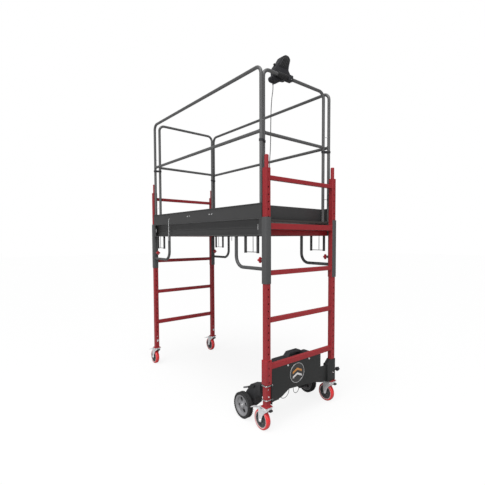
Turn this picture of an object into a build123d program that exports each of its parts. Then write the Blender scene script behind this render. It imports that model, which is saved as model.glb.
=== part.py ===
"""Powered rolling scaffold section: two ladder end frames on casters, a height-adjustable
guard-railed platform, and a wheel drive unit clamped to one end. Millimetres, +Z up."""

import math
import os

from build123d import *

# ---- frames -------------------------------------------------------------------------------------
half_length = 930.0  # post centre to the middle of the scaffold, along X
half_width = 355.0  # post centre to the middle of the scaffold, along Y
post_size = 41.3
post_wall = 2.1
post_corner = 3.0
post_top_z = 1866.0
hole_pitch = 50.8
hole_r = 5.5
lock_z = 1225.0  # the post hole that the platform's lock pins face
holes_below = 19
holes_above = 12

coupling_r = 15.0
coupling_top_z = 1957.0
coupling_depth = 85.0
coupling_arm = 16.0
coupling_chamfer = 4.0

rung_depth = 32.0
rung_wall = 2.0
rung_corner = 3.0
rungs = [(467.0, 38.0), (801.0, 34.0), (1136.0, 34.0), (1464.0, 42.0), (1801.0, 30.0)]

flange_size = 61.0
flange_thick = 7.0

# ---- casters ------------------------------------------------------------------------------------
caster_wheel_r = 75.0
crown_clearance = 15.0  # wheel to fork crown
caster_tread_width = 36.0
caster_tread_inner_r = 59.5
caster_hub_half = 21.0
caster_core_hub_r = 16.0
caster_core_web_half = 5.0
caster_core_rim_r = 50.0
caster_trail = 48.0
caster_plate_size = 66.0
caster_plate_thick = 4.0
race_r = 25.0
race_depth = 6.7
kingpin_r = 6.0
kingpin_nut_r = 11.0
crown_thick = 7.0
crown_half = 26.0
fork_leg_inner = 22.0
fork_leg_thick = 3.0
axle_r = 6.0
fork_boss_r = 13.0
pedal_eye_r = 8.0
bumper_x = (34.0, 54.0)  # from the swivel axis
bumper_half = 14.0
bumper_thick = 12.0
stem_r = 18.0
stem_wall = 3.0
stem_length = 147.0
run_gap = 0.3  # clearance round a turning shaft or race
fit_gap = 0.1  # clearance round a fixed shaft
pedal_pivot = (-66.0, -5.0)  # from the swivel axis, and from the crown's underside
pedal_tip = (-166.0, -39.0)
pedal_pin_r = 3.0
pedal_thick = 6.0
pedal_half = 17.0
retainer_r = 4.75
retainer_head_r = 8.0
ring_r = 9.0
ring_wire_r = 1.6

# ---- drive unit ---------------------------------------------------------------------------------
drive_wheel_x = half_length - 277.0
drive_wheel_r = 100.0
drive_wheel_half = 22.5
drive_rim_r = 78.0
drive_rim_inner_r = 68.0
drive_rim_half = 19.0
drive_hub_r = 18.0
drive_hub_half = 20.0
drive_web_half = 6.0
drive_window = (43.0, 12.0, 17.0)  # distance from the axle, and half sizes
drive_shaft_r = 10.0
gearbox_outer_y = half_width - 43.0
gearbox_inner_y = half_width - 110.0
gearbox_arm_x = half_length - 130.0
motor_place = (47.0, 180.0)  # from the wheel's axis along X, and height
motor_r = 38.0
motor_length = 95.0
plate_back_x = half_length + 10.0
plate_thick = 4.0
stiffener_size = 54.0
stiffener_z = (347.0, 520.0)
u_bolt_r = 4.0
u_bolt_z = (236.0, 338.5)
plate_bolts = [(-157.0, 438.0), (72.0, 438.0)]
clamp_top_z = 375.0
clamp_inner_y = half_width - 70.0
clamp_wall = 3.5
knob_z = 264.0
knob_stud_r = 5.0
battery_x = (half_length - 140.0, half_length - 18.0)
battery_y = (-190.0, 160.0)
battery_z = (262.0, 462.0)
battery_handle_z = 500.0
lever_pivot = (drive_wheel_x + 77.0, 258.0)
lever_tip = (drive_wheel_x - 41.0, 213.0)
lever_thick = 9.0
lever_eye_r = 13.0
lever_tip_r = 7.0
lever_pin_r = 6.0
lever_pin_length = 18.0

# ---- platform -----------------------------------------------------------------------------------
slide_gap = 0.5  # sleeve to post
sleeve_wall = 3.0
sleeve_z = (1061.0, 1528.0)
barrel_r = 11.0
barrel_length = 22.0
pin_r = 4.75
pin_travel = 14.0
pin_gap = 1.35  # pulled-out pin tip to the post
pin_knob_r = 22.0
pin_knob_length = 18.0
truss_z = (1400.0, 1521.0)
truss_web_y = half_width - 15.0
sheet = 3.0
ledge_width = 18.0
deck_top_z = 1515.0
deck_thick = 18.0
deck_half_length = half_length - 33.0
deck_gap = 0.3
end_beam_x = (half_length - 64.0, half_length - 39.0)
end_beam_height = 41.0
toe_board_height = 106.0
toe_board_thick = 2.0
toe_board_end_gap = 1.85  # toe board to sleeve
rail_gap = 0.5  # toe board to guard post
hem = 4.0
hem_height = 6.0
knee_x = half_length - 353.0
knee_y = half_width + 5.0
knee_z = 1163.0
knee_r = 13.0
knee_bend = 85.0
tube_wall = 2.0

rail_r = 12.5
rail_bend = 55.0
top_rail_z = 2573.0
mid_rail_z = 2129.0
long_rail = (half_length - 48.0, half_width + 8.0)  # post axis of the two long guard panels
end_rail = (half_length - 72.0, half_width - 33.0)  # post axis of the two end guard panels
bracket_legs_x = (half_length - 235.0, half_length - 90.0)
bracket_leg = 16.0
bracket_foot_z = 1272.0
bracket_wire_r = 2.5
bracket_stem_x = half_length - 145.0
clip_height = 16.0
clip_z = {1: 2065.0, -1: 2092.0}
link_heights = (1702.0, 2212.0)
link_r = 3.0

# ---- controller and its cord --------------------------------------------------------------------
controller_x = (end_rail[0] - 72.0, end_rail[0] - 22.0)
controller_clamp_y = -70.0
controller_clamp_size = 44.0
controller_outline = [
    (-206.0, 2530.0),
    (-152.0, 2530.0),
    (-112.0, 2562.0),
    (-66.0, 2568.0),
    (-40.0, 2592.0),
    (-38.0, 2622.0),
    (-56.0, 2642.0),
    (-44.0, 2680.0),
    (-26.0, 2736.0),
    (-46.0, 2754.0),
    (-82.0, 2754.0),
    (-120.0, 2728.0),
    (-150.0, 2680.0),
    (-184.0, 2636.0),
    (-193.0, 2606.0),
    (-190.0, 2578.0),
    (-216.0, 2562.0),
    (-218.0, 2542.0),
]
controller_corner = 8.0
controller_edge = 5.0
gland_length = 22.0
gland_tip_r = 4.5
gland_root_r = 7.5
joystick_barrel_r = 6.0
joystick_barrel_half = 9.0
joystick_stem_r = 4.0
joystick_head_r = 13.0
joystick_head = (14.0, 30.0)  # from the pivot
joystick_place = (-92.0, 2686.0)
cord_r = 3.0
cord_start = (sum(controller_x) / 2, -190.0)

# Everything is modelled about the middle of the four posts, then moved by this much, so that the
# origin is on the floor under the middle of the whole outline.
frame_shift = (56.5, -32.5, 0.0)

corners = {
    "drive_left": (1, -1),
    "drive_right": (1, 1),
    "far_left": (-1, -1),
    "far_right": (-1, 1),
}
sides = {"left": -1, "right": 1}
post_half = post_size / 2
post_inner_y = half_width - post_half
sleeve_half_x = post_half + slide_gap + sleeve_wall
toe_board_half_length = half_length - sleeve_half_x - toe_board_end_gap
truss_outer_y = long_rail[1] + rail_r + rail_gap + toe_board_thick
end_toe_board_x = end_rail[0] - rail_r - rail_gap - sheet
crown_foot_z = 2 * caster_wheel_r + crown_clearance
crown_top_z = crown_foot_z + crown_thick
race_foot_z = crown_top_z + run_gap
caster_plate_z = race_foot_z + race_depth + caster_plate_thick
post_foot_z = caster_plate_z + flange_thick
plate_foot_z = post_foot_z + 12
clamp_z = (post_foot_z + 6, clamp_top_z)
pedal_pivot_z = crown_foot_z + pedal_pivot[1]
hole_heights = [lock_z + hole_pitch * k for k in range(-holes_below, holes_above + 1)]
retainer_z = hole_heights[0]
low_centre = (Align.CENTER, Align.CENTER, Align.MIN)


def save(part, name):
    """Label one finished sub-part and write its STEP file in the shared frame."""
    moved = part.moved(Location(frame_shift))
    moved.label = name
    export_step(moved, f"parts/{name}.step")


def across(x, y, z):
    """Plane through a point for a profile that is revolved about a line along Y."""
    return Plane(origin=(x, y, z), x_dir=(0, 1, 0), z_dir=(1, 0, 0))


def block(x, y, z, mode=Mode.ADD):
    """Box from its low and high value on each axis, given in either order."""
    middle = [(side[0] + side[1]) / 2 for side in (x, y, z)]
    size = [abs(side[1] - side[0]) for side in (x, y, z)]
    with Locations(tuple(middle)):
        Box(*size, mode=mode)


def rod_y(x, z, y, r, mode=Mode.ADD):
    """Round bar along Y between two values of y."""
    with Locations((x, (y[0] + y[1]) / 2, z)):
        Cylinder(r, abs(y[1] - y[0]), rotation=(90, 0, 0), mode=mode)


def rod_x(x, y, z, r, mode=Mode.ADD):
    """Round bar along X between two values of x."""
    with Locations(((x[0] + x[1]) / 2, y, z)):
        Cylinder(r, abs(x[1] - x[0]), rotation=(0, 90, 0), mode=mode)


# ---- frame sub-parts ----------------------------------------------------------------------------
def make_post(sx, sy):
    with BuildPart() as post:
        with BuildSketch(Plane.XY.offset(post_foot_z)):
            with Locations((sx * half_length, sy * half_width)):
                RectangleRounded(post_size, post_size, post_corner)
                inner = post_size - 2 * post_wall
                RectangleRounded(inner, inner, post_corner - post_wall, mode=Mode.SUBTRACT)
        extrude(amount=post_top_z - post_foot_z)
        with BuildSketch(Plane.YZ.offset(sx * half_length)):
            with Locations(*[(sy * half_width, z) for z in hole_heights]):
                Circle(hole_r)
        extrude(amount=post_size, both=True, mode=Mode.SUBTRACT)
    return post.part


def make_coupling_pins():
    with BuildPart() as pins:
        for sx, sy in corners.values():
            x, y = sx * half_length, sy * half_width
            plug = post_size - 2 * post_wall
            with Locations((x, y, post_top_z - coupling_depth)):
                Box(plug, coupling_arm, coupling_depth, align=low_centre)
                Box(coupling_arm, plug, coupling_depth, align=low_centre)
            with Locations((x, y, post_top_z)):
                Cylinder(coupling_r, coupling_top_z - post_top_z, align=low_centre)
        chamfer(pins.edges().group_by(Axis.Z)[-1], coupling_chamfer)
    return pins.part


def make_rungs(sx):
    with BuildPart() as rung_set:
        for z, height in rungs:
            with BuildSketch(Plane.XZ):
                with Locations((sx * half_length, z)):
                    RectangleRounded(rung_depth, height, rung_corner)
                    Rectangle(rung_depth - 2 * rung_wall, height - 2 * rung_wall, mode=Mode.SUBTRACT)
            extrude(amount=post_inner_y, both=True)
    return rung_set.part


def make_foot_flanges():
    with BuildPart() as flanges:
        for sx, sy in corners.values():
            with Locations((sx * half_length, sy * half_width, caster_plate_z)):
                Box(flange_size, flange_size, flange_thick, align=low_centre)
                Cylinder(stem_r + run_gap, flange_thick, align=low_centre, mode=Mode.SUBTRACT)
        fillet(flanges.edges().filter_by(Axis.Z).filter_by(GeomType.LINE), 5)
    return flanges.part


# ---- caster sub-parts ---------------------------------------------------------------------------
def make_caster_plates():
    """Fixed part of each caster: stem, top plate, upper race, kingpin and its nut."""
    nut_height = 6.0
    nut_top_z = crown_foot_z - run_gap
    with BuildPart() as plates:
        for sx, sy in corners.values():
            x, y = sx * half_length, sy * half_width
            with Locations((x, y, caster_plate_z)):
                Cylinder(stem_r, stem_length, align=low_centre)
                Cylinder(stem_r - stem_wall, stem_length, align=low_centre, mode=Mode.SUBTRACT)
            rod_x((x - post_size, x + post_size), y, retainer_z, hole_r, mode=Mode.SUBTRACT)
            with Locations((x, y, caster_plate_z - caster_plate_thick)):
                Box(caster_plate_size, caster_plate_size, caster_plate_thick, align=low_centre)
            with Locations((x, y, race_foot_z)):
                Cylinder(race_r, race_depth, align=low_centre)
            with Locations((x, y, nut_top_z)):
                Cylinder(kingpin_r, race_foot_z - nut_top_z, align=low_centre)
            with Locations((x, y, nut_top_z - nut_height)):
                Cylinder(kingpin_nut_r, nut_height, align=low_centre)
    return plates.part


def make_caster_retainers():
    """Cross pin with a pull ring that keeps each caster's stem in its post."""
    with BuildPart() as retainers:
        for sx, sy in corners.values():
            x, y = sx * half_length, sy * half_width
            head = (x - sx * (post_half + run_gap), x - sx * (post_half + retainer_r + 1))
            rod_x((x + sx * (post_half + retainer_r), head[0]), y, retainer_z, retainer_r)
            rod_x(head, y, retainer_z, retainer_head_r)
            ring_x = head[1] - sx * ring_wire_r * 0.9
            with Locations((ring_x, y, retainer_z + ring_r)):
                Torus(ring_r, ring_wire_r, rotation=(0, 90, 0))
    return retainers.part


def make_caster_fork(sx, sy):
    """Swivelling fork, with its axle bolt and its front bumper as further solids."""
    x, y = sx * half_length, sy * half_width
    axle_x = x - caster_trail
    pivot_x = x + pedal_pivot[0]
    leg_outer = fork_leg_inner + fork_leg_thick
    with BuildPart() as fork:
        block((x - 58, x + 34), (y - crown_half, y + crown_half), (crown_foot_z, crown_top_z))
        fillet(fork.edges().filter_by(Axis.Z), 12)
        for side in (-1, 1):
            inner_face = y + side * fork_leg_inner
            with BuildSketch(Plane(origin=(0, inner_face, 0), x_dir=(1, 0, 0), z_dir=(0, side, 0))):
                z_sign = -side  # local y runs along -side * Z
                with BuildLine():
                    Polyline(
                        (x + 30, z_sign * crown_top_z),
                        (x - 64, z_sign * crown_top_z),
                        (axle_x - fork_boss_r, z_sign * caster_wheel_r),
                        (axle_x + fork_boss_r, z_sign * caster_wheel_r),
                        close=True,
                    )
                make_face()
                with Locations((axle_x, z_sign * caster_wheel_r)):
                    Circle(fork_boss_r)
                with Locations((pivot_x, z_sign * pedal_pivot_z)):
                    Circle(pedal_eye_r)
                    Circle(pedal_pin_r + run_gap, mode=Mode.SUBTRACT)
                with Locations((axle_x, z_sign * caster_wheel_r)):
                    Circle(axle_r + fit_gap, mode=Mode.SUBTRACT)
            extrude(amount=fork_leg_thick)
        with Locations((x, y, crown_foot_z - 1)):
            Cylinder(kingpin_r + run_gap, crown_thick + 2, align=low_centre, mode=Mode.SUBTRACT)
        with Locations((x, y, crown_foot_z - 30)):
            Cylinder(kingpin_nut_r + 2, 30, align=low_centre, mode=Mode.SUBTRACT)
    with BuildPart() as axle:
        rod_y(axle_x, caster_wheel_r, (y - leg_outer - 6, y + leg_outer + 6), axle_r)
        for side in (-1, 1):
            rod_y(axle_x, caster_wheel_r, (y + side * leg_outer, y + side * (leg_outer + 6)), 10)
    with BuildPart() as bumper:
        bumper_z = (crown_top_z - bumper_thick, crown_top_z)
        block((x + bumper_x[0], x + bumper_x[1]), (y - bumper_half, y + bumper_half), bumper_z)
        fillet(bumper.edges().filter_by(Axis.Z).group_by(Axis.X)[-1], bumper_half / 2)
    return Compound(children=[fork.part, axle.part, bumper.part])


def make_caster_wheel(sx, sy):
    """Tread and core, two solids that turn together."""
    x, y = sx * half_length - caster_trail, sy * half_width
    half_tread = caster_tread_width / 2
    rim_half = half_tread - 2
    plane = across(x, y, caster_wheel_r)
    axis = Axis((x, y, caster_wheel_r), (0, 1, 0))
    with BuildPart() as tread:
        with BuildSketch(plane) as ring:
            middle = (caster_tread_inner_r + caster_wheel_r) / 2
            with Locations((0, middle)):
                Rectangle(caster_tread_width, caster_wheel_r - caster_tread_inner_r)
            fillet(ring.vertices().group_by(Axis.Z)[-1], 7)
        revolve(axis=axis)
    with BuildPart() as core:
        with BuildSketch(plane):
            with BuildLine():
                Polyline(
                    (-caster_hub_half, axle_r + run_gap),
                    (caster_hub_half, axle_r + run_gap),
                    (caster_hub_half, caster_core_hub_r),
                    (caster_core_web_half, caster_core_hub_r),
                    (caster_core_web_half, caster_core_rim_r),
                    (rim_half, caster_core_rim_r),
                    (rim_half, caster_tread_inner_r),
                    (-rim_half, caster_tread_inner_r),
                    (-rim_half, caster_core_rim_r),
                    (-caster_core_web_half, caster_core_rim_r),
                    (-caster_core_web_half, caster_core_hub_r),
                    (-caster_hub_half, caster_core_hub_r),
                    close=True,
                )
            make_face()
        revolve(axis=axis)
    return Compound(children=[tread.part, core.part])


def make_caster_pedal(sx, sy):
    """Brake pedal on its pivot pin, shown released."""
    x, y = sx * half_length, sy * half_width
    run = pedal_tip[0] - pedal_pivot[0]
    drop = pedal_tip[1] - pedal_pivot[1]
    length = math.hypot(run, drop)
    slope = Plane(origin=(x + pedal_pivot[0], y, pedal_pivot_z), x_dir=(run, 0, drop), z_dir=(0, 1, 0))
    with BuildPart() as pedal:
        with BuildSketch(slope.offset(-pedal_half)):
            Circle(pedal_pin_r + 2)
            with Locations((length / 2, 0)):
                Rectangle(length, pedal_thick)
            with Locations((length - pedal_thick / 2, 0)):
                Circle(pedal_thick / 2)
        extrude(amount=2 * pedal_half)
        reach = fork_leg_inner + fork_leg_thick + 2
        rod_y(x + pedal_pivot[0], pedal_pivot_z, (y - reach, y + reach), pedal_pin_r)
    return pedal.part


# ---- drive unit sub-parts -----------------------------------------------------------------------
def make_drive_wheel(sy):
    """Tyre and hub; the hub carries the shaft that runs into the gearbox."""
    y = sy * half_width
    plane = across(drive_wheel_x, y, drive_wheel_r)
    axis = Axis((drive_wheel_x, y, drive_wheel_r), (0, 1, 0))
    with BuildPart() as tyre:
        with BuildSketch(plane) as ring:
            with Locations((0, (drive_rim_r + drive_wheel_r) / 2)):
                Rectangle(2 * drive_wheel_half, drive_wheel_r - drive_rim_r)
            fillet(ring.vertices().group_by(Axis.Z)[-1], 9)
        revolve(axis=axis)
    with BuildPart() as hub:
        with BuildSketch(plane):
            with BuildLine():
                Polyline(
                    (-drive_hub_half, 0),
                    (drive_hub_half, 0),
                    (drive_hub_half, drive_hub_r),
                    (drive_web_half, drive_hub_r),
                    (drive_web_half, drive_rim_inner_r),
                    (drive_rim_half, drive_rim_inner_r),
                    (drive_rim_half, drive_rim_r),
                    (-drive_rim_half, drive_rim_r),
                    (-drive_rim_half, drive_rim_inner_r),
                    (-drive_web_half, drive_rim_inner_r),
                    (-drive_web_half, drive_hub_r),
                    (-drive_hub_half, drive_hub_r),
                    close=True,
                )
            make_face()
        revolve(axis=axis)
        with BuildSketch(Plane(origin=(drive_wheel_x, y, drive_wheel_r), x_dir=(1, 0, 0), z_dir=(0, 1, 0))):
            with PolarLocations(drive_window[0], 4):
                Ellipse(drive_window[1], drive_window[2])
        extrude(amount=drive_web_half + 2, both=True, mode=Mode.SUBTRACT)
        shaft_y = (y - sy * drive_hub_half, sy * (gearbox_outer_y - 24))
        rod_y(drive_wheel_x, drive_wheel_r, shaft_y, drive_shaft_r)
    return Compound(children=[tyre.part, hub.part])


def make_gearbox(sy):
    """Gear case with its arm to the drive plate, and the motor as a second solid."""
    x = drive_wheel_x
    outline = [
        (x - 28, 78),
        (x + 19, 64),
        (x + 91, 124),
        (x + 99, 182),
        (x + 125, 200),
        (plate_back_x, 206),
        (plate_back_x, 298),
        (x + 147, 288),
        (x + 37, 262),
        (x - 35, 170),
    ]
    bore_depth = 26.0
    arm_outer_y = clamp_inner_y - 4
    with BuildPart() as case:
        with BuildSketch(Plane.XZ.offset(-sy * gearbox_inner_y)) as side:
            with BuildLine():
                Polyline(*outline, close=True)
            make_face()
            soft = [v for v in side.vertices() if v.X < plate_back_x - 1]
            fillet(soft, 9)
        extrude(amount=-sy * (gearbox_outer_y - gearbox_inner_y))
        arm_x = (gearbox_arm_x, plate_back_x + 1)
        arm_z = (outline[3][1], outline[7][1] + 20)
        block(arm_x, (sy * arm_outer_y, sy * (gearbox_outer_y + 1)), arm_z, mode=Mode.SUBTRACT)
        mouth = (sy * gearbox_outer_y, sy * (gearbox_outer_y - bore_depth))
        rod_y(drive_wheel_x, drive_wheel_r, mouth, drive_shaft_r + run_gap, mode=Mode.SUBTRACT)
        pin_y = (sy * gearbox_outer_y, sy * (gearbox_outer_y - lever_pin_length - 2))
        rod_y(*lever_pivot, pin_y, lever_pin_r + run_gap, mode=Mode.SUBTRACT)
    with BuildPart() as motor:
        motor_y = (sy * gearbox_inner_y, sy * (gearbox_inner_y - motor_length))
        rod_y(x + motor_place[0], motor_place[1], motor_y, motor_r)
    return Compound(children=[case.part, motor.part])


def make_drive_lever(sy):
    """Clutch lever beside the wheel, with the pin that turns in the gear case."""
    run = lever_tip[0] - lever_pivot[0]
    drop = lever_tip[1] - lever_pivot[1]
    length = math.hypot(run, drop)
    inner = gearbox_outer_y + run_gap
    face = Plane(origin=(lever_pivot[0], sy * inner, lever_pivot[1]), x_dir=(run, 0, drop), z_dir=(0, sy, 0))
    with BuildPart() as lever:
        with BuildSketch(face):
            Circle(lever_eye_r)
            with Locations((length, 0)):
                Circle(lever_tip_r)
            with BuildLine():
                near = ((0, -lever_eye_r), (0, lever_eye_r))
                far = ((length, lever_tip_r), (length, -lever_tip_r))
                Polyline(*near, *far, close=True)
            make_face()
        extrude(amount=lever_thick)
        rod_y(*lever_pivot, (sy * inner, sy * (inner - lever_pin_length)), lever_pin_r)
    return lever.part


def make_drive_plate():
    """Front plate under the lowest rung, with the flange that the U-bolts hold to the post."""
    left = -post_inner_y
    stiffener_y = -half_width + stiffener_size / 2 + slide_gap
    outline = [
        (left, plate_foot_z),
        (-221, 220),
        (-145, 259),
        (130, 234),
        (206, 212),
        (clamp_inner_y, 212),
        (clamp_inner_y, 335),
        (206, 343),
        (206, rungs[0][0] - rungs[0][1] / 2),
        (stiffener_y, rungs[0][0] - rungs[0][1] / 2),
        (stiffener_y, stiffener_z[0] - 1),
        (left, stiffener_z[0] - 1),
    ]
    reach = post_half + u_bolt_r
    with BuildPart() as plate:
        with BuildSketch(Plane.YZ.offset(plate_back_x)):
            with BuildLine():
                Polyline(*outline, close=True)
            make_face()
            with Locations(*plate_bolts):
                Circle(4.2, mode=Mode.SUBTRACT)
        extrude(amount=plate_thick)
        block((half_length - 33, half_length + 34), (left, left + 4), (plate_foot_z, stiffener_z[0] - 1))
        for z in u_bolt_z:
            for side in (-1, 1):
                hole_y = (left - 1, left + 5)
                rod_y(half_length + side * reach, z, hole_y, u_bolt_r + fit_gap, mode=Mode.SUBTRACT)
    return plate.part


def make_drive_fasteners():
    """Two U-bolts with their nuts, and the two bolts into the battery frame."""
    reach = post_half + u_bolt_r
    back = -half_width - reach
    front = -post_inner_y + 14
    nut_y = (-post_inner_y + 4, -post_inner_y + 10)
    with BuildPart() as fasteners:
        for z in u_bolt_z:
            with BuildLine() as bend:
                FilletPolyline(
                    (half_length - reach, front, z),
                    (half_length - reach, back, z),
                    (half_length + reach, back, z),
                    (half_length + reach, front, z),
                    radius=u_bolt_r + post_corner,
                )
            with BuildSketch(Plane(origin=(half_length - reach, front, z), z_dir=(0, -1, 0))):
                Circle(u_bolt_r)
            sweep(path=bend.line)
            for side in (-1, 1):
                rod_y(half_length + side * reach, z, nut_y, 7.5)
        for y, z in plate_bolts:
            rod_x((plate_back_x - 20, plate_back_x + plate_thick), y, z, 4)
            rod_x((plate_back_x + plate_thick, plate_back_x + plate_thick + 5), y, z, 7.5)
    return fasteners.part


def make_post_stiffener():
    """Second sleeve round the drive-end left post, notched for the lowest rung."""
    y = -half_width
    z, height = rungs[0]
    with BuildPart() as sleeve:
        with BuildSketch(Plane.XY.offset(stiffener_z[0])):
            with Locations((half_length, y)):
                RectangleRounded(stiffener_size, stiffener_size, 4)
                Rectangle(post_size + 2 * fit_gap, post_size + 2 * fit_gap, mode=Mode.SUBTRACT)
        extrude(amount=stiffener_z[1] - stiffener_z[0])
        notch_x = (half_length - rung_depth / 2 - run_gap, half_length + rung_depth / 2 + run_gap)
        notch_z = (z - height / 2 - run_gap, z + height / 2 + run_gap)
        block(notch_x, (y, y + stiffener_size), notch_z, mode=Mode.SUBTRACT)
        with BuildSketch(Plane.YZ.offset(half_length)):
            inside = [h for h in hole_heights if stiffener_z[0] < h - hole_r and h + hole_r < stiffener_z[1]]
            with Locations(*[(y, h) for h in inside]):
                Circle(hole_r)
        extrude(amount=stiffener_size, both=True, mode=Mode.SUBTRACT)
    return sleeve.part


def make_post_clamp():
    """Bracket that ties the drive plate to the drive-end right post."""
    half_x = post_half + fit_gap + clamp_wall
    outer_y = half_width + half_x
    with BuildPart() as clamp:
        with BuildSketch(Plane.YZ.offset(half_length)):
            with BuildLine():
                Polyline(
                    (clamp_inner_y, clamp_z[0]),
                    (outer_y, clamp_z[0]),
                    (outer_y, clamp_z[1]),
                    (clamp_inner_y + 45, clamp_z[1]),
                    (clamp_inner_y + 15, clamp_z[1] - 30),
                    (clamp_inner_y, clamp_z[1] - 35),
                    close=True,
                )
            make_face()
        extrude(amount=half_x, both=True)
        gap = post_half + fit_gap
        inside_x = (half_length - gap, half_length + gap)
        block(inside_x, (half_width - gap, half_width + gap), clamp_z, mode=Mode.SUBTRACT)
        hollow_y = (clamp_inner_y + clamp_wall, half_width - gap - clamp_wall)
        block(inside_x, hollow_y, (clamp_z[0], clamp_z[1] - 45), mode=Mode.SUBTRACT)
        rod_y(half_length, knob_z, (half_width, outer_y + 1), knob_stud_r + run_gap, mode=Mode.SUBTRACT)
        through = (half_length - half_x - 1, half_length + half_x + 1)
        rod_x(through, half_width, retainer_z, retainer_head_r + 1, mode=Mode.SUBTRACT)
    return clamp.part


def make_clamp_knob():
    """Star knob and its stud, which presses on the post."""
    knob_y = half_width + 70
    stud_y = (half_width + post_half + run_gap, knob_y)
    with BuildPart() as knob:
        rod_y(half_length, knob_z, stud_y, knob_stud_r)
        with BuildSketch(Plane(origin=(half_length, knob_y, knob_z), x_dir=(1, 0, 0), z_dir=(0, 1, 0))):
            Circle(14)
            with PolarLocations(13, 5):
                Circle(5)
        extrude(amount=28)
    return knob.part


def make_battery_box():
    """Battery and control case behind the plate, with its carrying handle and mounting frame."""
    rung_foot_z = rungs[0][0] - rungs[0][1] / 2
    middle_y = sum(battery_y) / 2
    with BuildPart() as box:
        block(battery_x, battery_y, battery_z)
        fillet(box.edges().filter_by(Axis.Y), 14)
        frame_x = (battery_x[1] - 1, plate_back_x)
        for y in battery_y:
            inward = 40 if y < 0 else -40
            block(frame_x, (y, y + inward), (battery_z[0] + 16, rung_foot_z - 1))
        handle_x = (battery_x[0] + 35, battery_x[1] - 35)
        block(handle_x, (middle_y - 85, middle_y + 85), (battery_z[1] - 4, battery_handle_z))
        chamfer(box.edges().group_by(Axis.Z)[-1].filter_by(Axis.X), 30)
        grip_y = (middle_y - 55, middle_y + 55)
        block(battery_x, grip_y, (battery_z[1] + 2, battery_handle_z - 12), mode=Mode.SUBTRACT)
        for y, z in plate_bolts:
            rod_x((plate_back_x - 22, plate_back_x + 1), y, z, 4 + fit_gap, mode=Mode.SUBTRACT)
    return box.part


def make_drive_cables():
    """Two short leads that hang in loops below the plate."""
    x = plate_back_x - 2
    loops = [
        [(x, -140, 262), (x, -152, 222), (x, -184, 199), (x, -219, 206), (x, -238, 238)],
        [(x, -98, 262), (x, -94, 224), (x, -70, 203), (x, -44, 218), (x, -37, 262)],
    ]
    with BuildPart() as cables:
        for points in loops:
            with BuildLine() as route:
                FilletPolyline(*points, radius=14)
            start = Vector(*points[0])
            with BuildSketch(Plane(origin=start, z_dir=Vector(*points[1]) - start)):
                Circle(2)
            sweep(path=route.line)
    return cables.part


# ---- platform sub-parts -------------------------------------------------------------------------
def make_sleeves():
    """C-shaped sleeves that slide on the posts, with the barrels of the lock pins."""
    inner_x = post_half + slide_gap
    with BuildPart() as sleeves:
        for sx, sy in corners.values():
            x, y = sx * half_length, sy * half_width
            open_y = y - sy * post_half
            block((x - sleeve_half_x, x + sleeve_half_x), (open_y, y + sy * sleeve_half_x), sleeve_z)
            block((x - inner_x, x + inner_x), (open_y - sy, y + sy * inner_x), sleeve_z, mode=Mode.SUBTRACT)
            face = x - sx * sleeve_half_x
            rod_x((face, face - sx * barrel_length), y, lock_z, barrel_r)
            bore = (x - sx * inner_x, face - sx * barrel_length)
            rod_x(bore, y, lock_z, pin_r + run_gap, mode=Mode.SUBTRACT)
    return sleeves.part


def make_spring_pin(sx, sy):
    """Lock pin and its knob, shown pulled out and held clear of the post."""
    x, y = sx * half_length, sy * half_width
    tip = x - sx * (post_half + pin_gap)
    knob = x - sx * (sleeve_half_x + barrel_length + pin_travel + 1)
    with BuildPart() as pin:
        rod_x((tip, knob), y, lock_z, pin_r)
        rod_x((knob, knob - sx * pin_knob_length), y, lock_z, pin_knob_r)
        fillet(pin.edges().filter_by(GeomType.CIRCLE).sort_by(SortBy.RADIUS)[-2:], 3)
    return pin.part


def make_truss(sy):
    """Channel along one side, open outwards, with a deck ledge inside and closed ends."""
    reach = half_length - sleeve_half_x
    web = (truss_web_y, truss_web_y + sheet)
    height = truss_z[1] - truss_z[0]
    profile = [
        (web, truss_z),
        ((web[1], truss_outer_y), (truss_z[1] - sheet, truss_z[1])),
        ((web[1], truss_outer_y), (truss_z[0], truss_z[0] + sheet)),
        ((web[0] - ledge_width, web[0]), (deck_top_z - deck_thick - sheet, deck_top_z - deck_thick)),
        ((web[1], web[1] + 4), (truss_z[0] + 0.45 * height, truss_z[0] + 0.55 * height)),
    ]
    with BuildPart() as truss:
        for y, z in profile:
            block((-reach, reach), (sy * y[0], sy * y[1]), z)
        for side in (-1, 1):
            with BuildSketch(Plane.XZ.offset(-sy * (truss_outer_y - sheet))):
                with BuildLine():
                    Polyline(
                        (side * reach, truss_z[0]),
                        (side * reach, truss_z[1]),
                        (side * (reach - 28), truss_z[1]),
                        (side * (reach - 46), truss_z[0]),
                        close=True,
                    )
                make_face()
            extrude(amount=-sy * sheet)
    return truss.part


def make_toe_board(sy):
    foot = truss_z[1]
    top = foot + toe_board_height
    face = truss_outer_y - toe_board_thick
    with BuildPart() as board:
        reach = (-toe_board_half_length, toe_board_half_length)
        block(reach, (sy * face, sy * truss_outer_y), (foot, top))
        block(reach, (sy * truss_outer_y, sy * (truss_outer_y + hem)), (top - hem_height, top))
        block(reach, (sy * truss_outer_y, sy * (truss_outer_y + hem / 2)), (foot, foot + sheet))
    return board.part


def make_end_toe_boards():
    top = deck_top_z + toe_board_height
    wide = (-truss_web_y, truss_web_y)
    with BuildPart() as boards:
        for side in (-1, 1):
            near = side * end_toe_board_x
            block((near, near + side * sheet), wide, (deck_top_z, top))
            block((near - side * hem, near), wide, (top - hem_height, top))
    return boards.part


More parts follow.
